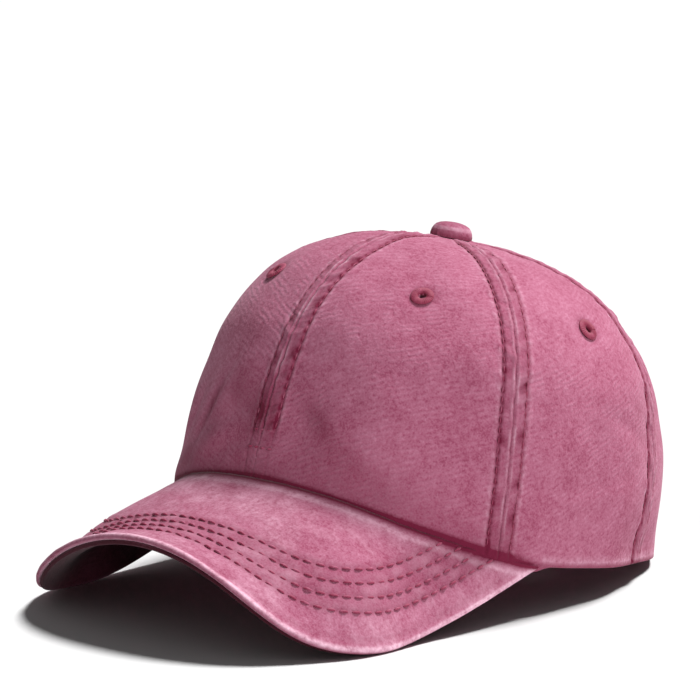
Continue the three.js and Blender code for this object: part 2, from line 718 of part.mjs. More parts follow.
function peakCover(topLift, bottomLift) {
  const upper = [];
  const lower = [];
  for (let c = 0; c <= PEAK_COLUMNS; c += 1) {
    const t = PEAK_SPAN * Math.sin(((2 * c) / PEAK_COLUMNS - 1) * Math.PI / 2);
    const root = peakRoot(t);
    const front = peakFront(t);
    const at = (share) => ({
      bend: mix(root.bend, front.bend, share),
      forward: mix(root.forward, front.forward, share),
    });
    upper.push(PEAK_ROWS.map((share) => peakPoint(at(share), topLift)));
    lower.push(PEAK_ROWS.map((share) => peakPoint(at(share), bottomLift)));
  }
  return cut(bodyBetween(upper, lower), crownForm());
}

// The room that the crown takes, with its clearance, down to just under the panels' rim
const FORM_COLUMNS = 72;
function crownForm() {
  const shares = [0.05, 0.2, 0.4, 0.6, 0.75, 0.85, 0.93, 1];
  const rings = shares.map((down) => {
    const ring = [];
    for (let i = 0; i < FORM_COLUMNS; i += 1) {
      ring.push(crownSurface((i / FORM_COLUMNS) * 2 * Math.PI, down, PEAK_ROOT_GAP));
    }
    return ring;
  });
  const below = RIM_BELOW_PEAK + PEAK_ROOT_GAP;
  rings.push(rings.at(-1).map((p) => p.clone().setZ(p.z - below)));
  const inwards = 1 - (3 * PEAK_TUCK) / CROWN_HALF_WIDTH;
  rings.push(rings.at(-1).map((p) => new THREE.Vector3(p.x * inwards, p.y * inwards, p.z)));
  const positions = rings.flat().flatMap((p) => [p.x, p.y, p.z]);
  positions.push(0, -BUTTON_FORWARD, CROWN_HEIGHT, 0, 0, 0.3 * CROWN_HEIGHT);
  const index = [];
  const last = (rings.length - 1) * FORM_COLUMNS;
  const top = rings.length * FORM_COLUMNS;
  for (let i = 0; i < FORM_COLUMNS; i += 1) {
    const j = (i + 1) % FORM_COLUMNS;
    index.push(top, i, j, top + 1, last + j, last + i);
    for (let r = 0; r < last; r += FORM_COLUMNS) {
      index.push(r + i, r + FORM_COLUMNS + i, r + FORM_COLUMNS + j, r + i, r + FORM_COLUMNS + j, r + j);
    }
  }
  return outward(indexed(positions, index));
}

// Sweatband: follows the panels' inner faces from one side of the arch round the front to the other
const SWEATBAND_ROWS = [1, 0.66, 0.33, 0];
function sweatband() {
  const edge = backPlace(ARCH_HALF_WIDTH + BINDING_WIDTH + 2 * CLEARANCE, 0).angle;
  const seams = [-180, -BACK_SEAM_ANGLE, -SIDE_SEAM_ANGLE, FRONT_SEAM_ANGLE, SIDE_SEAM_ANGLE,
    BACK_SEAM_ANGLE, 180];
  const columns = [];
  for (let i = 0; i + 1 < seams.length; i += 1) {
    const places = panelPlaces(seams[i], seams[i + 1]);
    places[0].forEach((_, c) => {
      const column = places.map((row) => row[c]);
      if (Math.abs(column.at(-1).angle) < edge) columns.push(column);
    });
  }
  const endColumn = (angle) => columns[0].map((place) => ({ angle, down: place.down }));
  columns.unshift(endColumn(-edge));
  columns.push(endColumn(edge));
  const lift = -(CLOTH_WALL + SWEATBAND_EASE);
  const face = (depth) => SWEATBAND_ROWS.map((share) => columns.map((column) => (
    heightOnColumn(column, SWEATBAND_HEIGHT * share, depth))));
  return bodyBetween(face(lift), face(lift - SWEATBAND_THICKNESS));
}
function heightOnColumn(column, height, lift) {
  const points = column.map((place) => crownSurface(place.angle, place.down, lift));
  const hem = points.at(-1).z;
  let i = points.length - 1;
  while (i > 1 && points[i - 1].z - hem < height) i -= 1;
  const share = (height - (points[i].z - hem)) / (points[i - 1].z - points[i].z);
  return points[i].clone().lerp(points[i - 1], clamp(share, 0, 1));
}

// Strap: a ribbon given by rows of across and depth below the crown's outer face
const bindingInside = -(CLOTH_WALL + BINDING_BACKING);
const strapDepth = bindingInside - 2 * CLEARANCE - STRAP_THICKNESS / 2;
const buckleDepth = bindingInside - 2 * CLEARANCE - TAB_THICKNESS - CLEARANCE / 2;
const weave = BUCKLE_WIRE_RADIUS + CLEARANCE + STRAP_THICKNESS / 2;
const tabEyeRadius = BUCKLE_WIRE_RADIUS + CLEARANCE + TAB_THICKNESS;
const tailDepth = buckleDepth - tabEyeRadius - 2 * CLEARANCE - STRAP_THICKNESS / 2;
const buckleBars = [1, 0, -1].map((side) => BUCKLE_CENTRE + side * BUCKLE_BAR_SPACING);
function ribbon(rows, thickness, bottom, width) {
  const halves = [0.5, -0.5];
  return bodyAlong(rows.map((row) => {
    const top = halves.map((h) => backPoint(row.across, bottom + width, row.depth + h * thickness));
    const base = halves.map((h) => backPoint(row.across, bottom, row.depth + h * thickness));
    return [top[0], top[1], base[1], base[0]];
  }), false);
}
const STRAP_STEP = 5;
function strap() {
  const stops = [
    { across: ARCH_HALF_WIDTH + BINDING_WIDTH - STRAP_END_INSET, depth: strapDepth },
    { across: buckleBars[0] + 2 * BUCKLE_BAR_SPACING, depth: strapDepth },
    { across: buckleBars[0], depth: buckleDepth - weave },
    { across: buckleBars[1], depth: buckleDepth + weave },
    { across: buckleBars[2], depth: tailDepth },
    { across: -(ARCH_HALF_WIDTH + BINDING_WIDTH - STRAP_END_INSET), depth: tailDepth },
  ];
  const rows = [];
  for (let i = 0; i + 1 < stops.length; i += 1) {
    const from = stops[i];
    const to = stops[i + 1];
    const steps = Math.max(3, Math.round(Math.abs(to.across - from.across) / STRAP_STEP));
    for (let k = 0; k < steps; k += 1) {
      const share = k / steps;
      rows.push({
        across: mix(from.across, to.across, share),
        depth: mix(from.depth, to.depth, (1 - Math.cos(Math.PI * share)) / 2),
      });
    }
  }
  rows.push(stops.at(-1));
  return ribbon(rows, STRAP_THICKNESS, STRAP_ABOVE_HEM, STRAP_WIDTH);
}

// The tab: a tongue under the binding that ends in an eye round the buckle's outer bar
function strapTab() {
  const bar = buckleBars[2];
  const end = -(ARCH_HALF_WIDTH + BINDING_WIDTH - STRAP_END_INSET);
  const half = TAB_THICKNESS + CLEARANCE / 2;
  const outside = [{ across: end, depth: half }];
  const steps = 12;
  const start = Math.asin(half / tabEyeRadius);
  for (let i = 0; i <= steps; i += 1) {
    const turn = Math.PI - start - (i / steps) * 2 * (Math.PI - start);
    outside.push({
      across: bar + tabEyeRadius * Math.cos(turn),
      depth: tabEyeRadius * Math.sin(turn),
    });
  }
  outside.push({ across: end, depth: -half });
  const bottom = STRAP_ABOVE_HEM + (STRAP_WIDTH - TAB_WIDTH) / 2;
  const layers = [0, 0.5, 1].map((share) => outside.map((p) => backPoint(
    p.across,
    bottom + share * TAB_WIDTH,
    buckleDepth + p.depth,
  )));
  const body = bodyAlongFlat(layers, outside);
  const bore = [];
  for (let k = 0; k <= 4; k += 1) {
    const up = mix(bottom - CUT_PAST_TAB, bottom + TAB_WIDTH + CUT_PAST_TAB, k / 4);
    bore.push(wireRing(bar, up, BUCKLE_WIRE_RADIUS + CLEARANCE, 8));
  }
  return cut(body, bodyAlong(bore, false));
}

// A body along outlines that are not convex, so its two ends are triangulated
function bodyAlongFlat(layers, flatOutline) {
  const sides = flatOutline.length;
  const flat = flatOutline.map((p) => new THREE.Vector2(p.across, p.depth));
  const faces = THREE.ShapeUtils.triangulateShape(flat, []);
  const positions = layers.flat().flatMap((p) => [p.x, p.y, p.z]);
  const index = [];
  for (let i = 0; i + 1 < layers.length; i += 1) {
    for (let j = 0; j < sides; j += 1) {
      const a = i * sides + j;
      const b = i * sides + (j + 1) % sides;
      index.push(a, b, b + sides, a, b + sides, a + sides);
    }
  }
  const clockwise = THREE.ShapeUtils.isClockWise(flat);
  const last = (layers.length - 1) * sides;
  for (const [a, b, c] of faces) {
    if (clockwise) index.push(a, b, c, last + a, last + c, last + b);
    else index.push(a, c, b, last + a, last + b, last + c);
  }
  return outward(indexed(positions, index));
}

// A ring of points round a wire that runs up the strap's width
function wireRing(across, up, radius, sides) {
  const ring = [];
  for (let j = 0; j < sides; j += 1) {
    const turn = ((j + 0.5) / sides) * 2 * Math.PI;
    ring.push(backPoint(across + radius * Math.cos(turn), up, buckleDepth + radius * Math.sin(turn)));
  }
  return ring;
}

function buckleFrame() {
  const low = STRAP_ABOVE_HEM - BUCKLE_SIDE_ROOM - BUCKLE_WIRE_RADIUS;
  const high = STRAP_ABOVE_HEM + STRAP_WIDTH + BUCKLE_SIDE_ROOM + BUCKLE_WIRE_RADIUS;
  const sides = 6;
  let solid = null;
  for (const across of buckleBars) {
    const rings = [0, 0.5, 1].map((share) => wireRing(across, mix(low, high, share),
      BUCKLE_WIRE_RADIUS, sides));
    const bar = solidOf(bodyAlong(rings, false));
    solid = solid ? solid.add(bar) : bar;
  }
  for (const up of [low, high]) {
    const rings = [];
    const reach = BUCKLE_BAR_SPACING + BUCKLE_WIRE_RADIUS * 0.9;
    for (let k = 0; k <= 4; k += 1) {
      const across = BUCKLE_CENTRE + mix(-reach, reach, k / 4);
      const ring = [];
      for (let j = 0; j < sides; j += 1) {
        const turn = ((j + 0.5) / sides) * 2 * Math.PI;
        ring.push(backPoint(across, up + BUCKLE_WIRE_RADIUS * Math.cos(turn),
          buckleDepth + BUCKLE_WIRE_RADIUS * 1.1 * Math.sin(turn)));
      }
      rings.push(ring);
    }
    solid = solid.add(solidOf(bodyAlong(rings, false)));
  }
  return geometryOf(solid);
}

// All pieces in the cap's own frame
const archGap = backCutter(archOutline(BINDING_WIDTH + CLEARANCE, CUT_BELOW_HEM), archReach);
const slitReach = SLIT_HALF_WIDTH + SLIT_BAND_WIDTH;
const slitGap = backCutter(slitOutline(SLIT_BAND_WIDTH + 1.5 * CLEARANCE), slitReach);

const pieces = [];
for (const { name, from, to, eyelet: angle, down } of PANELS) {
  const cuts = [eyeletHole(angle * DEG, down)];
  if (name.startsWith('back')) cuts.push(archGap, slitGap);
  pieces.push([`panel_${name}`, cut(panel(from, to), ...cuts), CLOTH]);
}
for (const { name, eyelet: angle, down } of PANELS) {
  pieces.push([`eyelet_${name}`, eyelet(angle * DEG, down), THREAD]);
}
pieces.push(['top_button', topButton(), CLOTH]);
const upperBottom = -CLEARANCE - PEAK_UPPER_THICKNESS;
pieces.push(['brim_upper_cover', peakCover(-CLEARANCE, upperBottom), CLOTH]);
const underTop = upperBottom - CLEARANCE;
pieces.push(['brim_under_cover', peakCover(underTop, underTop - PEAK_UNDER_THICKNESS), CLOTH_DARK]);
pieces.push(['sweatband', sweatband(), CLOTH_DARK]);
pieces.push(['arch_binding', archBinding(), CLOTH]);
pieces.push(['slit_binding', cut(slitBinding(), archGap), CLOTH]);
pieces.push(['strap', strap(), CLOTH]);
pieces.push(['strap_tab', strapTab(), CLOTH]);
pieces.push(['buckle_frame', buckleFrame(), BRASS]);

// The tilt at which the peak's lowest side and the rear hem stand on the same level
function lowest(geometry, tilt, front) {
  const p = geometry.getAttribute('position');
  let least = Infinity;
  for (let i = 0; i < p.count; i += 1) {
    if (front === p.getY(i) < 0) {
      least = Math.min(least, p.getY(i) * Math.sin(tilt) + p.getZ(i) * Math.cos(tilt));
    }
  }
  return least;
}
const lowestOf = (tilt, front) => Math.min(...pieces.map((piece) => lowest(piece[1], tilt, front)));
let lowTilt = -40 * DEG;
let highTilt = 10 * DEG;
for (let i = 0; i < 40; i += 1) {
  const middle = (lowTilt + highTilt) / 2;
  if (lowestOf(middle, true) > lowestOf(middle, false)) lowTilt = middle;
  else highTilt = middle;
}
const restTilt = (lowTilt + highTilt) / 2;

const cap = new THREE.Group();
cap.rotation.x = restTilt;
cap.updateMatrix();
const box = new THREE.Box3();
for (const [, geometry] of pieces) {
  const tipped = geometry.clone().applyMatrix4(cap.matrix);
  tipped.computeBoundingBox();
  box.union(tipped.boundingBox);
}
cap.position.set(
  -(box.min.x + box.max.x) / 2,
  -(box.min.y + box.max.y) / 2,
  -box.min.z - REST_FLAT,
);
cap.updateMatrix();

// The surface presses the cloth flat where the cap stands on it
const toCap = cap.matrix.clone().invert();
for (const piece of pieces) {
  const [, geometry] = piece;
  const tipped = geometry.clone().applyMatrix4(cap.matrix);
  tipped.computeBoundingBox();
  if (tipped.boundingBox.min.z < 0) {
    const surface = new THREE.BoxGeometry(SURFACE_WIDTH, SURFACE_WIDTH, SURFACE_DEPTH);
    surface.translate(0, 0, -SURFACE_DEPTH / 2).applyMatrix4(toCap);
    piece[1] = cut(geometry, surface);
  }
}

for (const [name, geometry, look] of pieces) {
  const mesh = new THREE.Mesh(geometry, new THREE.MeshStandardMaterial(look));
  mesh.name = name;
  cap.add(mesh);
}

const model = new THREE.Group();
model.add(cap);

export default model;
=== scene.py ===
# %% [markdown]
# # A washed-cotton ponytail cap
# The object is a soft baseball cap: six cloth panels sewn into a crown, a stiff curved peak, a
# covered button, stitched eyelets, and at the back a slit, an arch and a strap with a small brass
# buckle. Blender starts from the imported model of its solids, which stays as it is. Every cloth
# piece is then worked out anew as a fine surface that takes the place of its plain solid.

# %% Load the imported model
import math

import bpy
import numpy as np
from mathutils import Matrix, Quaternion, Vector


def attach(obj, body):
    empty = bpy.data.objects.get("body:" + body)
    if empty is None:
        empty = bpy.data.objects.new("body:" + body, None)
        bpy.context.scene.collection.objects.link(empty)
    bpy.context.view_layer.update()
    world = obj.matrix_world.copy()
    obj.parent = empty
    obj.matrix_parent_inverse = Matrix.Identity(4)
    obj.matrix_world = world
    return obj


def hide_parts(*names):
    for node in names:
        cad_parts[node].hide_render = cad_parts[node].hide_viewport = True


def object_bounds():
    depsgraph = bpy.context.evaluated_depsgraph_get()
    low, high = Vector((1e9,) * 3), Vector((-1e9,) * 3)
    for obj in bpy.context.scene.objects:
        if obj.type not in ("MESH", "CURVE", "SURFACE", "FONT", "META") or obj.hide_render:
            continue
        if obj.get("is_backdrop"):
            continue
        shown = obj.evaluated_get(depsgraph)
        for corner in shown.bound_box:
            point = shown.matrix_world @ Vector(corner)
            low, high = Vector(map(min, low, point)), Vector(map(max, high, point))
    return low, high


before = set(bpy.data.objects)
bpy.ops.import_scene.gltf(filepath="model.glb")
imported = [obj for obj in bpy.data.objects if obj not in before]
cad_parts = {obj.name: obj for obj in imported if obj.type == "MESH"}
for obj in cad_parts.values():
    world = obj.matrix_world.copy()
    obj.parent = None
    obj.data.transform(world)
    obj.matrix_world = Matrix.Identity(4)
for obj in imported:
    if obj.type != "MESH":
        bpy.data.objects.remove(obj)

CAD_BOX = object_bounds()
print("packed nodes:", len(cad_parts))

# %% [markdown]
# The cap was drawn in millimetres in its own frame, with Z up, the peak towards -Y and the
# wearer's left towards +X, and then tipped onto the surface that it stands on. All the shapes
# below are worked out in that frame. One function turns and moves them as each mesh is made.

# %% From the cap's own frame to the scene
MM = 0.001
REST_TILT = math.radians(-11.63274)
REST_SHIFT = (-0.1133, 23.25115, 17.60318)


def to_scene(points):
    """Turns millimetre points about X by the rest tilt, shifts them, and gives metres.
    Nothing sinks under the floor, which presses the cloth flat."""
    c, s = math.cos(REST_TILT), math.sin(REST_TILT)
    x, y, z = points[..., 0], points[..., 1], points[..., 2]
    turned = np.stack([x, y * c - z * s, y * s + z * c], -1) + REST_SHIFT
    turned[..., 2] = np.maximum(turned[..., 2], 0)
    return turned * MM


# %% [markdown]
# The photograph was taken from the wearer's left front, from a long way off with a long lens,
# looking down by about eleven degrees. A long lens keeps the near and the far side of the cap at
# nearly the same size. The lens is shifted a little, as the cap sits off the picture's centre,
# and the camera leans by a quarter of a degree.

# %% Camera
VIEW_AZIMUTH, VIEW_ELEVATION = math.radians(41.1445), math.radians(10.8714)
VIEW_LEAN = math.radians(0.232)
VIEW_DISTANCE = 1.7872
VIEW_TARGET = np.array([-0.00013, 0.03363, 0.06651])
FOCAL_PIXELS, PICTURE = 4792.15, 700
TARGET_PIXEL = (435.87, 390.8)
back = np.array([
    math.sin(VIEW_AZIMUTH) * math.cos(VIEW_ELEVATION),
    -math.cos(VIEW_AZIMUTH) * math.cos(VIEW_ELEVATION),
    math.sin(VIEW_ELEVATION),
])
camera_data = bpy.data.cameras.new("camera")
camera_data.sensor_width = 36
camera_data.lens = FOCAL_PIXELS * camera_data.sensor_width / PICTURE
camera_data.shift_x = (PICTURE / 2 - TARGET_PIXEL[0]) / PICTURE
camera_data.shift_y = (TARGET_PIXEL[1] - PICTURE / 2) / PICTURE
camera_data.clip_end = 100
camera = bpy.data.objects.new("camera", camera_data)
camera.location = VIEW_TARGET + back * VIEW_DISTANCE
camera.rotation_mode = "QUATERNION"
camera.rotation_quaternion = ((-Vector(back)).to_track_quat("-Z", "Y")
                              @ Quaternion((0, 0, 1), VIEW_LEAN))
bpy.context.scene.collection.objects.link(camera)
bpy.context.scene.camera = camera
print("camera at", [round(v, 3) for v in camera.location], "lens", round(camera_data.lens, 1))

# %% [markdown]
# Small helpers come first. Soft steps and bell shapes draw seams and folds, a smooth curve goes
# through a short list of measured values, and sums of plane waves give the uneven cloth its
# gentle swells. The waves come from seeded numbers, so every run makes the same cap.


# %% Helpers for shapes
def smooth(share):
    """Goes softly from 0 to 1 as the share does: three squares less two cubes."""
    s = np.clip(share, 0, 1)
    return s * s * (3 - 2 * s)


def bell(distance, width):
    """A bell: 1 at no distance, falling off over the width."""
    return np.exp(-(distance / width) ** 2)


def mix(start, end, share):
    """The start plus a share of the way to the end."""
    return start + (end - start) * share


def through_values(values, share):
    """The smooth curve (Catmull-Rom) through evenly spaced values, at shares from 0 to 1."""
    values = np.asarray(values, float)
    last = len(values) - 1
    before, after = 2 * values[0] - values[1], 2 * values[-1] - values[-2]
    v = np.concatenate([[before], values, [after]])
    i = np.clip(np.floor(share * last).astype(int), 0, last - 1)
    t = share * last - i
    a, b, c, d = v[i], v[i + 1], v[i + 2], v[i + 3]
    return 0.5 * (2 * b + (c - a) * t + (2 * a - 5 * b + 4 * c - d) * t**2
                  + (3 * b - a - 3 * c + d) * t**3)


def closest(still_short, low, high, steps):
    """Where a test stops being true between two arrays of values, found by halving steps."""
    for _ in range(steps):
        middle = (low + high) / 2
        short = still_short(middle)
        low, high = np.where(short, middle, low), np.where(short, high, middle)
    return high


def swells(points, length, seed, count=10):
    """Adds plane waves of about one length in random directions, scaled to a mean square of 1."""
    rng = np.random.default_rng(seed)
    ways = rng.normal(size=(count, 3))
    ways /= np.linalg.norm(ways, axis=1, keepdims=True)
    ways *= (2 * math.pi / (length * rng.uniform(0.7, 1.5, count)))[:, None]
    turns = points @ ways.T + rng.uniform(0, 2 * math.pi, count)
    return np.sin(turns).sum(-1) * math.sqrt(2 / count)


def ripple(along, length, seed, count=7):
    """The same along a line: waves of about one length, added, with a mean square of 1."""
    rng = np.random.default_rng(seed)
    speeds = 2 * math.pi / (length * rng.uniform(0.6, 1.7, count))
    turns = np.asarray(along)[..., None] * speeds + rng.uniform(0, 2 * math.pi, count)
    return np.sin(turns).sum(-1) * math.sqrt(2 / count)


# %% [markdown]
# The crown is one smooth dome. Seen from above its hem is an oval, and each place on the dome is
# named by an angle round it, from 0 at the front, and by how far down it lies, from 0 at the
# button to 1 at the hem. The numbers are the ones that the solids were drawn with.

# %% The dome
CROWN_HALF_WIDTH, CROWN_FRONT_DEPTH, CROWN_BACK_DEPTH = 83.5, 91.4, 103.0
CROWN_HEIGHT, BUTTON_FORWARD = 104.6, 3.5
FRONT_ROUNDNESS, BACK_ROUNDNESS, HEIGHT_POWER = 0.9, 1.08, 0.8
CLOTH_WALL = 1.6
FRONT_REACH = (0, 0.2585, 0.4505, 0.6087, 0.7399, 0.8414, 0.9109, 0.9662, 1)
SIDE_REACH = (0, 0.362, 0.5682, 0.7313, 0.8533, 0.946, 0.9872, 1.0053, 1)
BACK_REACH = (0, 0.1453, 0.321, 0.5034, 0.6729, 0.8232, 0.9207, 0.9828, 1)
ROW_HEIGHTS = np.append(np.cos(np.arange(8) / 8 * math.pi / 2) ** HEIGHT_POWER, 0)
PEAK_BEND_RADIUS, PEAK_SLOPE, PEAK_RISE = 84.5, 0.675, 15.06
PEAK_END_ANGLE, PEAK_END_HEIGHT = math.radians(77), -4.11
PEAK_LENGTH, PEAK_SIDE_PULL, PEAK_FRONT_PULL = 57.4, 104.1, 76.96
PEAK_SIDE_TURN = math.radians(-7.72)
SWELL_HEIGHT, SWELL_PLACE, SWELL_REACH = 5.59, (67.9, 14.3), (39.7, 19.4)
LEVEL_HEM_ANGLE = math.radians(150)


def hem_plan(angle):
    """The hem's oval from above: cosine and sine raised to a power a little off 1."""
    c, s = np.cos(angle), np.sin(angle)
    power = np.where(c > 0, FRONT_ROUNDNESS, BACK_ROUNDNESS)
    depth = np.where(c > 0, CROWN_FRONT_DEPTH, CROWN_BACK_DEPTH)
    x = CROWN_HALF_WIDTH * np.sign(s) * np.abs(s) ** power
    return x, -depth * np.sign(c) * np.abs(c) ** power


def bend_drop(x):
    """How far a cylinder that lies along Y has fallen at a distance x from its top line."""
    reach = np.minimum(np.abs(x), 0.98 * PEAK_BEND_RADIUS)
    return PEAK_BEND_RADIUS - np.sqrt(PEAK_BEND_RADIUS**2 - reach**2)


PEAK_END_X, PEAK_END_Y = (float(v) for v in hem_plan(PEAK_END_ANGLE))
PEAK_ROOT_HEIGHT = (PEAK_END_HEIGHT + float(bend_drop(PEAK_END_X))
                    - PEAK_SLOPE * (PEAK_END_Y + CROWN_FRONT_DEPTH))


def peak_lift(forward):
    """The front is lifted over its slope by the square of the way forward."""
    return PEAK_RISE * (np.maximum(forward, 0) / PEAK_LENGTH) ** 2


def peak_height(x, y):
    """The peak's height: a cylinder's fall to the sides, and a slope that eases forward."""
    forward = -(y + CROWN_FRONT_DEPTH)
    return PEAK_ROOT_HEIGHT - bend_drop(x) - PEAK_SLOPE * forward + peak_lift(forward)


def hem_height(angle):
    """Follows the peak in front; behind it a cubic runs down to the level rear hem."""
    turn = np.abs(np.arctan2(np.sin(angle), np.cos(angle)))
    end, step = PEAK_END_ANGLE, 0.001
    span = LEVEL_HEM_ANGLE - end
    on_peak = peak_height(*hem_plan(np.minimum(turn, end)))
    slope = (peak_height(*hem_plan(end)) - peak_height(*hem_plan(end - step))) / step
    t = np.clip((turn - end) / span, 0, 1)
    behind = (2 * t**3 - 3 * t**2 + 1) * PEAK_END_HEIGHT + (t**3 - 2 * t**2 + t) * span * slope
    return np.where(turn < end, on_peak, behind)


def smooth_crown(angle, down):
    """The dome without dents: the oval shrinks towards the button while the height grows."""
    angle, down = np.broadcast_arrays(np.asarray(angle, float), np.asarray(down, float))
    c = np.cos(angle)
    side = through_values(SIDE_REACH, down)
    front, rear = through_values(FRONT_REACH, down), through_values(BACK_REACH, down)
    reach = mix(side, np.where(c > 0, front, rear), c * c)
    hem_x, hem_y = hem_plan(angle)
    base = hem_height(angle)
    return np.stack([
        hem_x * reach,
        -BUTTON_FORWARD + (hem_y + BUTTON_FORWARD) * reach,
        base + (CROWN_HEIGHT - base) * through_values(ROW_HEIGHTS, down),
    ], -1)


def unit(vectors):
    """Each vector divided by its own length."""
    return vectors / np.maximum(np.linalg.norm(vectors, axis=-1, keepdims=True), 1e-9)


def smooth_normal(angle, down):
    """The dome's outward direction: the fall crossed with the way round."""
    step = 0.004
    d = np.clip(down, 0.02, 1 - step)
    around = smooth_crown(angle + step, d) - smooth_crown(angle - step, d)
    fall = smooth_crown(angle, d + step) - smooth_crown(angle, d - step)
    return unit(np.cross(fall, around))


def round_scale(angle, down):
    """Millimetres round the crown for one radian."""
    step = 0.01
    gap = smooth_crown(angle + step, down) - smooth_crown(angle - step, down)
    return np.linalg.norm(gap, axis=-1) / (2 * step)


print("crown", 2 * CROWN_HALF_WIDTH, "mm wide,", CROWN_HEIGHT, "mm high over the rear hem")

# %% [markdown]
# Washed cotton doesn't keep a perfect dome. It has a few plain dents and folds, which the solids
# hold too, and finer creases that only the cloth shows. Each is a bell-shaped push along the
# outward direction, long one way and narrow the other, and turned on the surface. A third table
# paints shade into the colour in the dents and folds round the lower end of the front seam.

# %% Dents, folds and swells
# angle, down, reach along, reach across (shares of the height), turn in degrees, push outwards
DENTS = (
    (-12, 0.885, 0.13, 0.085, 20, -0.021),
    (9, 0.9, 0.14, 0.1, -35, -0.02),
    (-20, 0.95, 0.17, 0.045, 38, 0.013),
    (-44, 0.985, 0.11, 0.07, 0, 0.015),
    (-36, 0.885, 0.11, 0.04, 62, -0.016),
    (-20, 0.2, 0.26, 0.22, 0, 0.0323),
    (131, 0.13, 0.2, 0.16, 0, 0.0114),
    (131, 0.27, 0.16, 0.12, 0, -0.0048),
    (112, 0.98, 0.2, 0.1, 0, -0.018),
    (-97, 0.8, 0.22, 0.16, 15, -0.016),
)
CREASES = (
    (-24, 0.875, 0.16, 0.016, 70, -0.011),
    (-30, 0.955, 0.12, 0.02, 30, 0.006),
    (-5, 0.955, 0.09, 0.018, 20, 0.005),
    (20, 0.9, 0.15, 0.03, -28, 0.006),
    (30, 0.955, 0.14, 0.02, -15, -0.004),
    (88, 0.9, 0.2, 0.03, 12, 0.004),
    (98, 0.74, 0.18, 0.03, -20, -0.0035),
    (-90, 0.92, 0.2, 0.03, 10, 0.005),
    (150, 0.8, 0.16, 0.03, 30, -0.004),
    (-150, 0.8, 0.16, 0.03, -30, -0.004),
)
# the same columns; the last is how much painted shade darkens the colour there
PAINTED_SHADE_SPOTS = (
    (-24, 0.87, 0.09, 0.018, 70, 0.8),
    (-13, 0.84, 0.06, 0.06, 30, 0.45),
    (-20, 0.91, 0.04, 0.08, 0, 0.35),
    (-32, 0.96, 0.1, 0.05, 10, 0.35),
    (-3, 0.88, 0.07, 0.09, 0, 0.65),
    (12, 0.87, 0.1, 0.04, -35, 0.35),
    (24, 0.94, 0.22, 0.08, -15, 0.25),
)


def pushes(points, table):
    """Adds a bell for each row of the table, long one way and narrow the other."""
    total = 0
    for angle, down, along, across, turn, push in table:
        centre = smooth_crown(math.radians(angle), down)
        level = smooth_crown(math.radians(angle) + 0.01, down) - centre
        level[2] = 0
        level /= np.linalg.norm(level)
        offset = points - centre
        sideways, upwards = offset @ level, offset[..., 2]
        depth = offset @ np.array([-level[1], level[0], 0])
        c, s = math.cos(math.radians(turn)), math.sin(math.radians(turn))
        u = (sideways * c + upwards * s) / (along * CROWN_HEIGHT)
        v = (upwards * c - sideways * s) / (across * CROWN_HEIGHT)
        w = depth / (0.5 * CROWN_HEIGHT)
        total = total + push * CROWN_HEIGHT * np.exp(-(u * u + v * v + w * w))
    return total


def crown_surface(angle, down, lift=0.0):
    """The cloth's outer face at a height over the dome, with its dents, creases and swells."""
    point = smooth_crown(angle, down)
    soft = 0.35 * swells(point, 46, 5) + 0.1 * swells(point, 17, 6)
    push = pushes(point, DENTS) + pushes(point, CREASES) + soft * smooth(down / 0.12)
    return point + smooth_normal(angle, down) * np.asarray(lift + push)[..., None]


print(len(DENTS), "dents and", len(CREASES), "creases")

# %% [markdown]
# Two builders turn arrays of points into closed bodies. A sheet has an outer and an inner face
# with the same rows and columns, and walls round its edge and round any hole. A tube carries a
# closed outline along a path. Both turn their faces outwards by the sign of the volume.


# %% Builders for meshes
def facing_out(points, faces):
    """Turns all faces round if the body's signed volume is negative."""
    a, b, c, d = (points[faces[:, k]] for k in range(4))
    volume = np.einsum("ij,ij->", a, np.cross(b, c)) + np.einsum("ij,ij->", a, np.cross(c, d))
    return faces if volume > 0 else faces[:, ::-1]


def longer(field, count):
    """The last row's values again for some more rows, which roll round an edge."""
    return np.concatenate([field, np.repeat(field[-1:], count, 0)])


def both_faces(field, used, *size):
    """A grid's values, once for a sheet's outer face and once for its inner one."""
    return np.concatenate([field.reshape(-1, *size)] * 2)[used]


def cloth_marks(worn, deep):
    """The two marks that the cloth's material reads."""
    return {"worn": worn, "deep": deep}


def sheet_body(outer, inner, keep=None):
    """Quads over the kept cells of both faces, and a wall wherever a kept cell ends."""
    rows, columns = outer.shape[:2]
    count = rows * columns
    if keep is None:
        keep = np.ones((rows - 1, columns - 1), bool)
    at = np.arange(count).reshape(rows, columns)
    cells = [at[:-1, :-1], at[1:, :-1], at[1:, 1:], at[:-1, 1:]]
    top = np.stack([c[keep] for c in cells], -1)
    faces = [top, top[:, ::-1] + count]
    padded = np.pad(keep, 1)
    edges = (
        (padded[1:-1, :-2], 0, 1), (padded[2:, 1:-1], 1, 2),
        (padded[1:-1, 2:], 2, 3), (padded[:-2, 1:-1], 3, 0),
    )
    for neighbour, first, second in edges:
        ends = keep & ~neighbour
        a, b = cells[first][ends], cells[second][ends]
        faces.append(np.stack([b, a, a + count, b + count], -1))
    points = np.concatenate([outer.reshape(-1, 3), inner.reshape(-1, 3)])
    faces = np.concatenate(faces)
    used, compact = np.unique(faces, return_inverse=True)
    faces = compact.reshape(faces.shape)
    return points[used], facing_out(points[used], faces), used


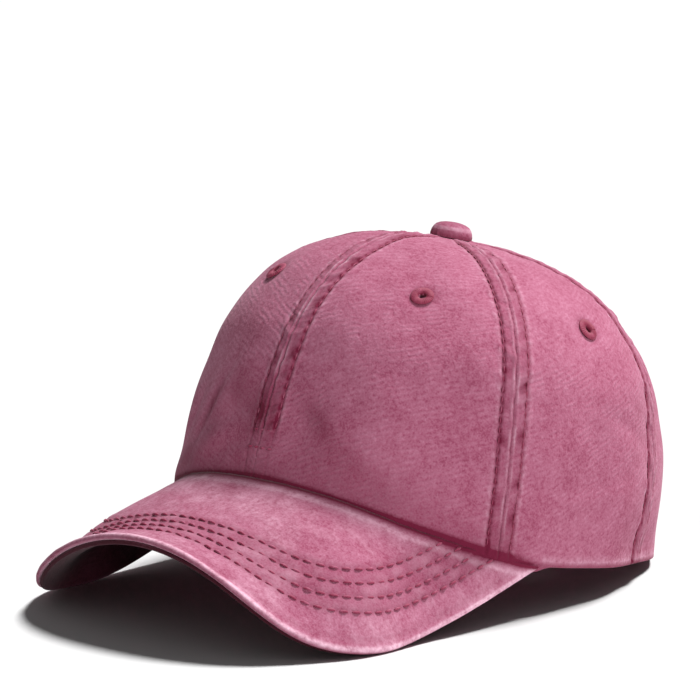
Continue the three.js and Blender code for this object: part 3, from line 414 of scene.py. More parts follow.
def tube_body(sections, closed):
    """Quads between neighbouring outlines; an open tube ends in fans round a centre point."""
    count, sides = sections.shape[:2]
    steps = count if closed else count - 1
    i, j = np.meshgrid(np.arange(steps), np.arange(sides), indexing="ij")
    ahead, beside = (i + 1) % count, (j + 1) % sides
    faces = np.stack([i * sides + j, i * sides + beside,
                      ahead * sides + beside, ahead * sides + j], -1).reshape(-1, 4)
    points = sections.reshape(-1, 3)
    if not closed:
        first, last = len(points), len(points) + 1
        points = np.concatenate([points, sections[:1].mean(1), sections[-1:].mean(1)])
        j = np.arange(sides)
        k, far = (j + 1) % sides, (count - 1) * sides
        start = np.stack([np.full(sides, first), k, j, j], -1)
        end = np.stack([np.full(sides, last), far + j, far + k, far + k], -1)
        faces = np.concatenate([faces, start, end])
    return points, facing_out(points, faces)


def clean_faces(faces):
    """Lists of corner numbers, with a doubled corner at the end or start dropped."""
    doubled = (faces[:, 2] == faces[:, 3]) | (faces[:, 0] == faces[:, 1])
    lists = faces[~doubled].tolist()
    for row in faces[doubled].tolist():
        lists.append(list(dict.fromkeys(row)))
    return lists


def make_piece(name, points, faces, material, node=None, uv=None, marks=None):
    """Makes the object at the origin from millimetre points, with its cloth map and marks. It
    rides on the cap's one body, and stands for a solid if a node is named."""
    mesh = bpy.data.meshes.new(name)
    mesh.from_pydata(to_scene(points).tolist(), [], clean_faces(faces))
    mesh.polygons.foreach_set("use_smooth", np.ones(len(mesh.polygons), bool))
    if uv is not None:
        corners = np.empty(len(mesh.loops), np.int32)
        mesh.loops.foreach_get("vertex_index", corners)
        layer = mesh.uv_layers.new(name="cloth")
        layer.data.foreach_set("uv", uv[corners].astype(np.float32).ravel())
    for mark, values in (marks or {}).items():
        field = mesh.attributes.new(mark, "FLOAT", "POINT")
        field.data.foreach_set("value", np.clip(values, 0, 1).astype(np.float32))
    mesh.materials.append(material)
    mesh.update()
    piece = bpy.data.objects.new(name, mesh)
    bpy.context.scene.collection.objects.link(piece)
    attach(piece, "root")
    if node:
        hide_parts(node)
    triangles = sum(len(p.vertices) - 2 for p in mesh.polygons)
    print(name, triangles, "triangles")


# %% [markdown]
# Shader maths is easier to read as ordinary sums. This class wraps one socket of a node tree, so
# that adding or multiplying two values makes the Math node that does it.


# %% A class for shader maths
class Value:
    """A socket that can be added, subtracted and multiplied like a number."""

    def __init__(self, tree, socket):
        self.tree, self.socket = tree, socket

    def node(self, kind, settings=None, **inputs):
        """Makes a node, sets its settings, then its input values or links."""
        made = self.tree.nodes.new(kind)
        for key, setting in (settings or {}).items():
            setattr(made, key, setting)
        for key, value in inputs.items():
            socket = made.inputs[int(key[1:])] if key[0] == "i" and key[1:].isdigit() \
                else made.inputs[key.replace("_", " ")]
            if isinstance(value, Value):
                self.tree.links.new(value.socket, socket)
            else:
                socket.default_value = value
        return made

    def out(self, made, name=0):
        """One output of a node, by its number or name."""
        return Value(self.tree, made.outputs[name])

    def math(self, operation, a, b=0.0):
        """The Math node that every operator and function below is made of."""
        return self.out(self.node("ShaderNodeMath", {"operation": operation}, i0=a, i1=b))

    def __add__(self, other):
        return self.math("ADD", self, other)

    __radd__ = __add__

    def __sub__(self, other):
        return self.math("SUBTRACT", self, other)

    def __rsub__(self, other):
        return self.math("SUBTRACT", other, self)

    def __mul__(self, other):
        return self.math("MULTIPLY", self, other)

    __rmul__ = __mul__

    def sine(self):
        """The sine of the value, in radians."""
        return self.math("SINE", self)

    def clamped(self):
        """The value kept between 0 and 1."""
        return self.out(self.node("ShaderNodeClamp", None, Value=self))

    def step(self, low, high):
        """0 below low, 1 above high, and a soft step between."""
        made = self.node("ShaderNodeMapRange", {"interpolation_type": "SMOOTHSTEP"},
                         i0=self, i1=low, i2=high)
        return self.out(made)


def colour_mix(tools, share, first, second):
    """Mixes two colours; each is a socket or three numbers."""
    def ready(colour):
        """The socket itself, or the three numbers with a full alpha."""
        return colour if isinstance(colour, Value) else (*colour, 1)

    made = tools.node("ShaderNodeMix", {"data_type": "RGBA"}, i0=share, i6=ready(first),
                      i7=ready(second))
    return tools.out(made, 2)


def new_material(name):
    """A material, a starting point for its maths, its shader, and places on the piece."""
    material = bpy.data.materials.new(name)
    material.use_nodes = True
    tree = material.node_tree
    tools = Value(tree, None)
    shader = next(n for n in tree.nodes if n.type == "BSDF_PRINCIPLED")
    here = tools.out(tools.node("ShaderNodeTexCoord"), "Object")
    return material, tools, shader, here


def finish_material(tools, shader, colour, relief, strength, distance, constants):
    """Links the colour and a bump of the relief, and sets the sockets that stay the same."""
    bump = tools.node("ShaderNodeBump", None, Strength=strength, Distance=distance,
                      Height=relief)
    tools.tree.links.new(colour.socket, shader.inputs["Base Color"])
    tools.tree.links.new(bump.outputs[0], shader.inputs["Normal"])
    for socket, value in constants.items():
        shader.inputs[socket].default_value = value


def noise(tools, place, scale, detail=2.0, roughness=0.5):
    """Soft random values about a half; a larger scale makes them finer."""
    made = tools.node("ShaderNodeTexNoise", None, Vector=place, Scale=scale, Detail=detail,
                      Roughness=roughness)
    return tools.out(made)


# %% [markdown]
# The cloth is cotton twill, dyed, sewn and then washed with stones until the dye has left every
# raised place: the diagonal ribs of the weave, the edges of the seams, the tops of the puckers.
# It has kept its depth in the grooves. So the colour is a deep rose between a pale worn tone and a
# burgundy one. Noise of four sizes gives the cloudy wash, and two marks on the mesh, worn and
# deep, say where an edge has faded or where the colour is darkened: in grooves and seams that have
# kept their dye, and as painted shade where parts meet, under the peak and the button, on the
# peak's rounded edge, and in dents and folds. The peak has a slightly darker copy of the twill,
# and the cloth under the peak and inside the crown a much darker one, both painted shade.

# %% Washed twill
DYE = (0.34, 0.078, 0.145)
FADED = (0.5, 0.195, 0.29)
WORN = (0.74, 0.45, 0.56)
BURGUNDY = (0.15, 0.010, 0.036)
TWILL_SPACING = 1.9
CLOUDS, BLOTCHES, SPECKS, GRAIN = 34, 150, 620, 1500


def washed_twill(name, rib_strength, dye=DYE, faded=FADED, worn=WORN, dark=BURGUNDY):
    """Dye mixed with faded and dark tones by noise, weave and the marks on the mesh. The ribs
    are sine waves up the cloth at a shallow slant, and noise wipes them out in places."""
    material, tools, shader, here = new_material(name)
    cloth = tools.out(tools.node("ShaderNodeUVMap", {"uv_map": "cloth"}))
    split = tools.node("ShaderNodeSeparateXYZ", None, Vector=cloth)
    across, up = tools.out(split, 0), tools.out(split, 1)
    edge = tools.out(tools.node("ShaderNodeAttribute", {"attribute_name": "worn"}), "Fac")
    deep = tools.out(tools.node("ShaderNodeAttribute", {"attribute_name": "deep"}), "Fac")
    clouds = noise(tools, here, CLOUDS, 3, 0.6)
    blotches = noise(tools, here, BLOTCHES, 3, 0.6)
    specks = noise(tools, here, SPECKS, 2, 0.6)
    grain = noise(tools, here, GRAIN, 1)
    slub = noise(tools, cloth, 0.22, 2, 0.5)
    turn = 2 * math.pi / TWILL_SPACING
    ribs = ((up * 0.88 - across * 0.47 + slub * 2.0) * turn).sine() * blotches.step(0.4, 0.6)
    wash = ((clouds - 0.5) * 1.1 + (blotches - 0.5) * 1.0 + (specks - 0.5) * 1.3
            + (grain - 0.5) * 1.2 + ribs * rib_strength)
    pale = (wash * 0.85 + 0.36).clamped()
    colour = colour_mix(tools, pale, dye, faded)
    low = (0.42 - wash).step(0.5, 1.2) * 0.3
    colour = colour_mix(tools, low, colour, dark)
    fade = (edge * ((specks - 0.5) * 1.6 + (blotches - 0.5) * 1.4 + 0.85)).clamped()
    colour = colour_mix(tools, fade, colour, worn)
    # the deep mark turns the colour burgundy: dye kept in grooves and seams, and painted shade
    # where parts meet, under things and in dents and folds
    kept = (deep * ((specks - 0.5) * 1.2 + 0.95) + deep.step(0.88, 1.0) * 0.4).clamped()
    colour = colour_mix(tools, kept, colour, dark)
    height = ribs * (rib_strength * 3) + specks * 1.6 + blotches * 1.2 + grain * 0.6
    finish_material(tools, shader, colour, height, 0.55, 0.00022, {
        "Roughness": 0.92, "Specular IOR Level": 0.15, "Sheen Weight": 0.07,
        "Sheen Roughness": 0.5})
    return material


TWILL = washed_twill("washed_twill", 0.13)
# a darker copy of the twill for the peak: painted shade
TWILL_PEAK_PAINTED_SHADE = washed_twill("twill_peak_painted_shade", 0.03, (0.3, 0.066, 0.125), (0.47, 0.19, 0.28))
# a much darker copy of the twill for the peak's under side and the sweatband: painted shade
TWILL_PAINTED_SHADE = washed_twill("twill_painted_shade", 0.06, (0.15, 0.026, 0.05), (0.23, 0.062, 0.1),
                            (0.45, 0.2, 0.28), (0.05, 0.005, 0.013))
print("twill ribs", TWILL_SPACING, "mm apart")

# %% [markdown]
# The sewing thread is a burgundy that has faded unevenly, and the eyelets' thread is a little
# deeper. The buckle is aged brass, dull and brown in patches.


# %% Thread and brass
def thread_material(name, deep, pale):
    """Burgundy sewing thread, unevenly faded, with fine turns along it."""
    material, tools, shader, here = new_material(name)
    uneven = noise(tools, here, 260, 2)
    fine = noise(tools, here, 2600, 2)
    share = (uneven.step(0.45, 0.75) * 0.5 + (fine - 0.5) * 0.4).clamped()
    colour = colour_mix(tools, share, deep, pale)
    finish_material(tools, shader, colour, fine, 0.5, 0.0001,
                    {"Roughness": 0.7, "Sheen Weight": 0.1})
    return material


def brass_material():
    """Aged brass: warm metal with duller, browner patches and fine scratches."""
    material, tools, shader, here = new_material("aged_brass")
    patches = noise(tools, here, 420, 3, 0.6)
    scratches = noise(tools, here, 3800, 2)
    dull = patches.step(0.4, 0.68)
    colour = colour_mix(tools, dull, (0.62, 0.4, 0.2), (0.3, 0.16, 0.1))
    tools.tree.links.new((dull * 0.25 + 0.28).socket, shader.inputs["Roughness"])
    finish_material(tools, shader, colour, scratches, 0.2, 0.00005, {"Metallic": 1})
    return material


THREAD = thread_material("seam_thread", (0.26, 0.018, 0.065), (0.48, 0.14, 0.24))
EYELET_THREAD = thread_material("eyelet_thread", (0.24, 0.012, 0.05), (0.42, 0.07, 0.15))
BRASS = brass_material()
print("materials:", len(bpy.data.materials))

# %% [markdown]
# Along every seam the panels' edges are folded back inside and held by a row of stitches on each
# side. That leaves a raised strip about a centimetre wide, with a groove at both rows, a fine
# ridge where the two folds meet, and puckers where the thread has drawn the cloth together in
# the wash. The strip's shape is one function of the distance from the seam and the way along it.

# %% The raised strip along a seam
FRONT, SIDE, BACK, REAR = (math.radians(v) for v in (-1.2, 63.9, 114.5, 180))
STITCH_ROW, STITCH_PITCH = 4.85, 3.65
STRIP_REACH = 9.0


def seam_relief(distance, along, seed, strength):
    """Lift, worn and deep marks of the strip: a plateau, grooves, a ridge and puckers."""
    strip = 1 - smooth((distance - 4.2) / 1.3)
    row = bell(distance - STITCH_ROW, 0.62)
    outside = bell(distance - 6.3, 0.85)
    slant = along + 0.5 * distance
    pucker = ripple(slant, 8.5, seed)
    tight = ripple(along + 0.3 * distance, 4.2, seed + 1)
    patch = ripple(along, 15, seed + 2)
    lift = (0.62 * strip - 0.5 * row * (0.85 + 0.15 * tight) - 0.22 * bell(distance, 0.5)
            + 0.28 * bell(distance - 1.0, 0.5) + 0.16 * outside
            + strip * (0.12 * pucker + 0.06 * tight)
            + 0.1 * bell(distance - 6.5, 2.2) * pucker)
    crest = np.clip(0.2 + 0.45 * pucker + 0.25 * tight, 0, 1)
    worn = (0.24 * outside * (0.6 + 0.4 * tight) + strip * 0.1 * crest * (1 - row)
            + 0.5 * bell(distance - 1.0, 0.4) * (0.6 + 0.4 * patch))
    beads = 0.7 + 0.3 * np.cos(2 * math.pi * along / STITCH_PITCH)
    # dark patches on the strip, partly random and partly painted shade in the troughs between
    # puckers
    shade = np.clip(0.5 * patch - 0.35 * pucker - 0.1, 0, 1)
    deep = (0.95 * bell(distance - STITCH_ROW, 0.85) * beads + 0.1 * bell(distance, 0.35)
            + strip * (0.24 + 0.5 * shade * bell(distance - 3.4, 1.6)))
    return lift * strength, worn * strength, deep * strength


# %% [markdown]
# Each panel is a grid from seam to seam and from button to hem. Its columns crowd together on the
# seam strips, where the relief is fine, and near the button they close up as the panel narrows.
# The last rows roll round under the hem's folded edge.

# %% Panels
PANEL_ROWS, ROLL_ROWS, STRIP_COLUMNS, MIDDLE_COLUMNS = 176, 5, 21, 36
FAR_FROM_SEAM = 60.0
SHANK_ROOM = 2.4
RIM_BELOW_PEAK = 2.4


def share_at(angle, distance):
    """How far down the crown is some distance out from the button's middle."""
    def inside(down):
        """Whether a place is still closer to the middle than that."""
        point = smooth_crown(angle, down)
        return np.hypot(point[..., 0], point[..., 1] + BUTTON_FORWARD) < distance

    return closest(inside, np.zeros_like(angle), np.full_like(angle, 0.4), 24)


def panel_top(angle):
    """How far down a panel starts, so that the button's shank has room."""
    return share_at(angle, SHANK_ROOM)


def strip_room(start, end, down):
    """1 where the panel is wide, less near the button where its two strips have to share."""
    need = STRIP_REACH / round_scale(start, down) + STRIP_REACH / round_scale(end, down)
    return np.minimum(1, 0.8 * (end - start) / need)


def panel_places(start, end, rows):
    """Angles, shares down and distances from both seams for each point of a panel's grid."""
    share = rows[:, None]
    centre_down = mix(panel_top(np.array((start + end) / 2)), 1, share)
    room = strip_room(start, end, centre_down)
    steps = STRIP_REACH * np.linspace(0, 1, STRIP_COLUMNS) ** 1.15
    left = start + steps * room / round_scale(start, centre_down)
    right = end - steps[::-1] * room / round_scale(end, centre_down)
    middle = np.linspace(0, 1, MIDDLE_COLUMNS + 2)[1:-1]
    centre = mix(left[:, -1:], right[:, :1], middle)
    angle = np.concatenate([left, centre, right], 1)
    down = np.clip(mix(panel_top(angle[-1]), 1, share), 0, 1)
    far = np.full(MIDDLE_COLUMNS + STRIP_COLUMNS, FAR_FROM_SEAM)
    from_start = np.broadcast_to(np.concatenate([steps, far]), angle.shape)
    return angle, down, from_start, from_start[:, ::-1]


def lengths_along(points, axis):
    """Millimetres along a grid's rows or columns: the running sum of the steps."""
    steps = np.linalg.norm(np.diff(points, axis=axis), axis=-1)
    start = np.zeros_like(np.take(steps, [0], axis=axis))
    return np.concatenate([start, np.cumsum(steps, axis=axis)], axis=axis)


def inside_outline(across, up, outline):
    """Whether points lie inside a closed outline: counts the edges that a level ray crosses."""
    a, b = outline, np.roll(outline, -1, 0)
    x, y = across[..., None], up[..., None]
    spans = (a[:, 1] > y) != (b[:, 1] > y)
    rise = np.where(b[:, 1] == a[:, 1], 1, b[:, 1] - a[:, 1])
    crossing = a[:, 0] + (y - a[:, 1]) / rise * (b[:, 0] - a[:, 0])
    return (spans & (x < crossing)).sum(-1) % 2 == 1


# %% [markdown]
# The back of the crown is also measured as a flat sheet: across from the centre line, and up
# along the cloth from the rear hem. The arch, the slit, their bindings and the strap are drawn
# on that sheet and then laid onto the dome.

# %% The back as a flat sheet
BACK_STEPS = 240
back_line = smooth_crown(math.pi, 1 - np.arange(BACK_STEPS + 1) / BACK_STEPS)
BACK_LENGTHS = lengths_along(back_line, 0)


def back_angle(across, down):
    """The angle whose place on the dome lies that far across from the centre back."""
    def short(turn):
        """Whether a place is still less far across than that."""
        return smooth_crown(math.pi - turn, down)[..., 0] < np.abs(across)

    turn = closest(short, np.zeros_like(across), np.full_like(across, math.pi / 2), 30)
    return math.pi - np.sign(across) * turn


def back_place(across, up):
    """The angle and the share down of a place on the flat sheet."""
    across, up = np.broadcast_arrays(np.asarray(across, float), np.asarray(up, float))
    down = 1 - np.interp(np.maximum(up, 0), BACK_LENGTHS,
                         np.arange(BACK_STEPS + 1) / BACK_STEPS)
    return back_angle(across, down), down


def back_point(across, up, lift):
    """Lays a place of the flat sheet onto the cloth; below the hem it hangs straight down."""
    angle, down = back_place(across, up)
    point = crown_surface(angle, down, lift)
    point[..., 2] += np.minimum(np.broadcast_to(up, point.shape[:-1]), 0)
    return point


ARCH_HALF_WIDTH, ARCH_HEIGHT, ARCH_SQUARENESS, BINDING_WIDTH = 37.5, 54.5, 2.7, 9.2
SLIT_BOTTOM, SLIT_TOP, SLIT_HALF_WIDTH, SLIT_BAND_WIDTH = 66.0, 122.0, 8.7, 11.0
SLIT_WIDEST_SHARE = 0.66


def arch_reach(across, up, grow):
    """Under 1 inside the arch when it is grown by that much, and over 1 outside it."""
    return ((np.abs(across) / (ARCH_HALF_WIDTH + grow)) ** ARCH_SQUARENESS
            + (np.maximum(up, 0) / (ARCH_HEIGHT + grow)) ** ARCH_SQUARENESS)


def arch_edge(grow, t):
    """A squared ellipse from hem to hem; t runs from 0 to half a turn."""
    c, s = np.cos(t), np.sin(t)
    power = 2 / ARCH_SQUARENESS
    return np.stack([
        (ARCH_HALF_WIDTH + grow) * np.sign(c) * np.abs(c) ** power,
        (ARCH_HEIGHT + grow) * np.abs(s) ** power,
    ], -1)


def slit_edge(grow, t):
    """A leaf: a soft point below, widest above the middle, round at the top."""
    share = (1 - np.cos(t)) / 2
    below = smooth(share / SLIT_WIDEST_SHARE)
    above = np.clip((share - SLIT_WIDEST_SHARE) / (1 - SLIT_WIDEST_SHARE), 0, 1)
    top = np.sqrt(np.maximum(0, 1 - above**2.4))
    half = SLIT_HALF_WIDTH * np.where(share < SLIT_WIDEST_SHARE, below, top)
    side = np.where(np.sin(t) >= 0, 1, -1)
    flare = np.clip(below + 0.75, 0.02, 1)
    return np.stack([
        side * (half + grow * flare * np.abs(np.sin(t)) ** 0.45),
        SLIT_BOTTOM + (SLIT_TOP - SLIT_BOTTOM) * share - grow * np.cos(t),
    ], -1)


print("rear hem to button along the cloth:", round(float(BACK_LENGTHS[-1]), 1), "mm")

# %% [markdown]
# All six panels come from one function. It adds the two seam strips to the dome, sinks the cloth
# round the eyelet, paints shade along the hem, above the peak and in the dents round the front
# seam, and leaves out the cells that the eyelet's hole and the back's bindings hide.

# %% Make the six panels
# each panel's two seams, the seeds of their puckers, and its eyelet's angle and share down
PANELS = {
    "front_left": (FRONT, SIDE, (11, 21), (33.9, 0.4415)),
    "front_right": (-SIDE, FRONT, (31, 12), (-30.9, 0.4496)),
    "side_left": (SIDE, BACK, (22, 41), (89.8, 0.47)),
    "side_right": (-BACK, -SIDE, (51, 32), (-89.8, 0.47)),
    "back_left": (BACK, REAR, (42, 61), (138.5, 0.485)),
    "back_right": (-REAR, -BACK, (62, 52), (-138.5, 0.485)),
}
EYELET_HOLE, EYELET_SPOKES, EYELET_RIDGE = 2.4, 30, 0.1
HIDDEN_UNDER_BINDING = 4.5
RIM_DROP_ENDS, RIM_DROP_REACH = math.radians(74), math.radians(6)
FOLDED_EDGE, FOLD_THICKNESS = 5, 0.25


def panel_body(start, end, seeds, eyelet, back_panel):
    """Outer and inner grids of one panel, with cloth map, marks and kept cells."""
    rows = np.linspace(0, 1, PANEL_ROWS)
    angle, down, from_start, from_end = panel_places(start, end, rows)
    plain = smooth_crown(angle, down)
    along = lengths_along(plain, 0)
    up = along[-1:] - along
    across = lengths_along(plain, 1)
    across = across - across[:, across.shape[1] // 2][:, None]
    lift, worn, deep = np.zeros_like(down), np.zeros_like(down), np.zeros_like(down)
    for distance, seed, is_front in ((from_start, seeds[0], start == FRONT),
                                     (from_end, seeds[1], end == FRONT)):
        strength = 0.15 + 0.85 * smooth(down / 0.1)
        if is_front:
            strength = strength * (1 - 0.8 * smooth((down - 0.91) / 0.02))
        one = seam_relief(distance, along, seed, strength)
        lift, worn, deep = lift + one[0], worn + one[1], deep + one[2]
    eye = smooth_crown(*eyelet)
    eye_distance = np.linalg.norm(plain - eye, axis=-1)
    lift = lift - 0.5 * bell(eye_distance - 3, 3.2)
    deep = deep + 0.35 * bell(eye_distance - 4.6, 1.0)
    from_front = np.abs(np.arctan2(np.sin(angle), np.cos(angle)))
    peak = from_front < PEAK_END_ANGLE
    over_peak = 1 - smooth((from_front - 0.86 * PEAK_END_ANGLE) / (0.14 * PEAK_END_ANGLE))
    # painted shade: a dark line and a softer band above it where the crown meets the peak, and a
    # thin dark line at the hem all round
    deep = deep + over_peak * (1.3 * bell(up, 1.5) + 0.32 * bell(up, 11.0)) + 0.5 * bell(up, 0.9)
    # painted shade in the dents and folds round the lower front seam
    deep = deep + pushes(plain, PAINTED_SHADE_SPOTS) / CROWN_HEIGHT
    worn = worn + np.where(peak, 0, 0.35 * bell(up - 1.6, 1.0))
    outer = crown_surface(angle, down, lift)
    folds = (from_start < FOLDED_EDGE) * 1 + (from_end < FOLDED_EDGE)
    inner = crown_surface(angle, down, -CLOTH_WALL - FOLD_THICKNESS * folds)
    turn = np.linspace(0, 1, ROLL_ROWS + 1)[1:, None] * math.pi / 2
    half = CLOTH_WALL / 2
    edge = angle[-1]
    drop = RIM_BELOW_PEAK * (1 - smooth((from_front[-1] - RIM_DROP_ENDS) / RIM_DROP_REACH))

    def roll(side):
        """A quarter turn of the hem's fold, on the outer or the inner side."""
        rolled = crown_surface(edge, np.ones_like(edge), -half + side * half * np.cos(turn))
        rolled[..., 2] -= np.sin(turn) * half + drop * np.sin(turn) ** 0.5
        return rolled

    outer = np.concatenate([outer, roll(1)])
    inner = np.concatenate([inner, roll(-1)])
    up_long = longer(up, ROLL_ROWS) - np.concatenate([np.zeros((PANEL_ROWS, 1)), turn * half])
    uv = np.stack([longer(across, ROLL_ROWS) * math.copysign(1, start + end), up_long], -1)
    hidden = longer(eye_distance, ROLL_ROWS) < EYELET_HOLE
    if back_panel:
        height = np.interp(1 - down, np.arange(BACK_STEPS + 1) / BACK_STEPS, BACK_LENGTHS)
        t = np.linspace(0, 2 * math.pi, 90, endpoint=False)
        slit = inside_outline(plain[..., 0], height, slit_edge(HIDDEN_UNDER_BINDING + 1.5, t))
        arch = arch_reach(plain[..., 0], height, HIDDEN_UNDER_BINDING) < 1
        hidden = hidden | longer(slit | arch, ROLL_ROWS)
    cells = hidden[:-1, :-1] & hidden[1:, :-1] & hidden[1:, 1:] & hidden[:-1, 1:]
    return outer, inner, ~cells, uv, longer(worn, ROLL_ROWS), longer(deep, ROLL_ROWS)


def panel_piece(name, start, end, seeds, eyelet):
    """Makes one panel, which stands for the solid panel of the same name."""
    place = (math.radians(eyelet[0]), eyelet[1])
    in_back = name.startswith("back")
    outer, inner, keep, uv, worn, deep = panel_body(start, end, seeds, place, in_back)
    points, faces, used = sheet_body(outer, inner, keep)
    make_piece("cloth_" + name, points, faces, TWILL, "panel_" + name,
               both_faces(uv, used, 2),
               cloth_marks(both_faces(worn, used), both_faces(deep, used)))


for name, panel in PANELS.items():
    panel_piece(name, *panel)

# %% [markdown]
# A stitch is a short bead of thread that bulges between the two holes it comes out of. Each is
# the same small rounded body, and one call places hundreds of them along a path as whole arrays.

# %% Stitches
STITCH_RINGS = ((-0.8, 0.6), (-0.35, 1.0), (0.35, 1.0), (0.8, 0.6))
STITCH_SIDES = 6


def at_stops(stops, length, values):
    """Each column of the values, read off at places along a length."""
    return np.stack([np.interp(stops, length, column) for column in values.T], -1)


def path_frames(path, normals, pitch, phase=0.5):
    """Centres, directions and normals at even steps along a path."""
    length = lengths_along(path, 0)
    stops = np.arange(phase * pitch, length[-1], pitch)
    ahead = at_stops(stops, length, np.gradient(path, axis=0))
    return at_stops(stops, length, path), unit(ahead), unit(at_stops(stops, length, normals))


def stitch_bodies(centres, ahead, out, long, radius, sink=0.0):
    """Rounded bodies along their directions, all with the same rings of corners."""
    side = unit(np.cross(ahead, out))
    count = len(centres)
    angles = np.arange(STITCH_SIDES) / STITCH_SIDES * 2 * math.pi
    rings = []
    for at, wide in STITCH_RINGS:
        lift = radius * (1 - at * at) * 0.8 - sink
        middle = centres + ahead * (at * long / 2) + out * lift
        ring = (side[:, None] * np.cos(angles)[:, None] + out[:, None] * np.sin(angles)[:, None])
        rings.append(middle[:, None] + ring * (radius * wide))
    ends = [centres + ahead * (s * long / 2) - out * (sink + 0.25 * radius) for s in (-1, 1)]
    points = np.concatenate([np.concatenate(rings, 1), np.stack(ends, 1)], 1)
    n, last = STITCH_SIDES, len(STITCH_RINGS) - 1
    j = np.arange(n)
    k = (j + 1) % n
    faces = [np.stack([r * n + j, r * n + k, (r + 1) * n + k, (r + 1) * n + j], -1)
             for r in range(last)]
    first_pole, last_pole = (last + 1) * n, (last + 1) * n + 1
    faces.append(np.stack([np.full(n, first_pole), np.full(n, first_pole), k, j], -1))
    faces.append(np.stack([np.full(n, last_pole), np.full(n, last_pole),
                           last * n + j, last * n + k], -1))
    faces = np.concatenate(faces)
    shift = np.arange(count)[:, None, None] * points.shape[1]
    return points.reshape(-1, 3), (faces + shift).reshape(-1, 4)


def stitched(path, normals, pitch, stitch, phase=0.5):
    """A row of stitches along a path; a stitch is its length, its radius and how far it sinks."""
    return stitch_bodies(*path_frames(path, normals, pitch, phase), *stitch)


def join_bodies(bodies):
    """Puts several point and face arrays into one."""
    points, faces, total = [], [], 0
    for some_points, some_faces in bodies:
        points.append(some_points)
        faces.append(some_faces + total)
        total += len(some_points)
    return np.concatenate(points), np.concatenate(faces)


def stitch_piece(name, bodies):
    """One object for a set of stitch rows, turned outwards by the volume of all its bodies."""
    points, faces = join_bodies(bodies)
    make_piece(name, points, facing_out(points, faces), THREAD)


def seam_row(seam, other, offset, start_share, end_share):
    """A path beside a seam, closing up with the strip towards the button."""
    share = np.linspace(start_share, end_share, 160)
    down = mix(float(panel_top(np.array((seam + other) / 2))), 1, share)
    low, high = min(seam, other), max(seam, other)
    room = strip_room(low, high, down)
    angle = seam + math.copysign(1, other - seam) * offset * room / round_scale(seam, down)
    return crown_surface(angle, down, -0.05), smooth_normal(angle, down)


CROWN_STITCH, CROSS_STITCH, CROSS_PITCH = (2.7, 0.27), (2.3, 0.45), 3.0
SEAM_ROW_START, SEAM_ROW_END = 0.055, 0.994
# the share down at which a seam's stitches end where they don't run to the hem
EARLY_ENDS = {FRONT: 0.905, REAR: 0.28, -REAR: 0.28}
# the two rows across the front seam: share down, and half the width in millimetres
CROSS_ROWS = (0.915, 4.85), (0.947, 5.5)
seams = []
for low, high, _, _ in PANELS.values():
    for seam, other in ((low, high), (high, low)):
        end = EARLY_ENDS.get(seam, SEAM_ROW_END)
        path, normals = seam_row(seam, other, STITCH_ROW, SEAM_ROW_START, end)
        seams.append(stitched(path, normals, STITCH_PITCH, CROWN_STITCH))
for down, half_width in CROSS_ROWS:
    reach = np.linspace(-half_width, half_width, 30)
    angle = FRONT + reach / float(round_scale(np.array(FRONT), np.array(down)))
    path = crown_surface(angle, np.full_like(angle, down), 0.1)
    normals = smooth_normal(angle, np.full_like(angle, down))
    seams.append(stitched(path, normals, CROSS_PITCH, CROSS_STITCH))
stitch_piece("crown_stitching", seams)

# %% [markdown]
# The peak is a board between two covers. It is drawn as a flat pattern and bent over a cylinder:
# the front edge is a smooth curve with four control points, and the back edge follows the crown.
# Each cover is a thin body with a rounded edge. The wash has worn the upper edge pale, and four
# rows of stitches follow it, each at its own distance.

# %% Peak
PEAK_COLUMNS, PEAK_ROWS, EDGE_ROWS = 250, 74, 6
PEAK_SPAN = 0.985
ROW_FROM_EDGE = (12.7, 17.65, 22.6, 27.6)
PEAK_PITCH, PEAK_STITCH = 4.7, (3.6, 0.5, 0.1)
# each cover's top over the peak's face, its thickness and how far it stays inside the front edge
UPPER_COVER, UNDER_COVER = (0.0, 1.9, 0.1), (-1.95, 1.75, 0.35)
UNDER_COLUMNS, UNDER_ROWS = 140, 40


def bent(bend, forward):
    """Wraps the flat pattern round a cylinder, swollen in each wing, that falls to the front."""
    turn = np.clip(bend / PEAK_BEND_RADIUS, -1.4, 1.4)
    swell = (SWELL_HEIGHT * bell(np.abs(bend) - SWELL_PLACE[0], SWELL_REACH[0])
             * bell(forward - SWELL_PLACE[1], SWELL_REACH[1]))
    radius = PEAK_BEND_RADIUS + swell
    axis_height = (PEAK_ROOT_HEIGHT - PEAK_BEND_RADIUS - PEAK_SLOPE * forward
                   + peak_lift(forward))
    return np.stack([radius * np.sin(turn), -forward - CROWN_FRONT_DEPTH,
                     axis_height + radius * np.cos(turn)], -1)


def peak_point(bend, forward, lift=0.0):
    """A point over or under the peak's upper face, along its own outward direction."""
    step = 0.05
    sideways = bent(bend + step, forward) - bent(bend - step, forward)
    ahead = bent(bend, forward + step) - bent(bend, forward - step)
    normal = unit(np.cross(ahead, sideways))
    normal = normal * np.sign(normal[..., 2:])
    return bent(bend, forward) + normal * np.asarray(lift)[..., None], normal


def peak_front(t):
    """The front edge as a Bezier curve from side to middle, mirrored."""
    s = 1 - np.abs(t)
    end_bend = PEAK_BEND_RADIUS * math.asin(min(PEAK_END_X / PEAK_BEND_RADIUS, 0.98))
    end_forward = -(PEAK_END_Y + CROWN_FRONT_DEPTH)
    pull_bend = end_bend + PEAK_SIDE_PULL * math.sin(PEAK_SIDE_TURN)
    pull_forward = end_forward + PEAK_SIDE_PULL * math.cos(PEAK_SIDE_TURN)
    a, b, c, d = (1 - s) ** 3, 3 * s * (1 - s) ** 2, 3 * s * s * (1 - s), s**3
    bend = a * end_bend + b * pull_bend + c * PEAK_FRONT_PULL
    forward = a * end_forward + b * pull_forward + (c + d) * PEAK_LENGTH
    return np.sign(t) * bend, forward


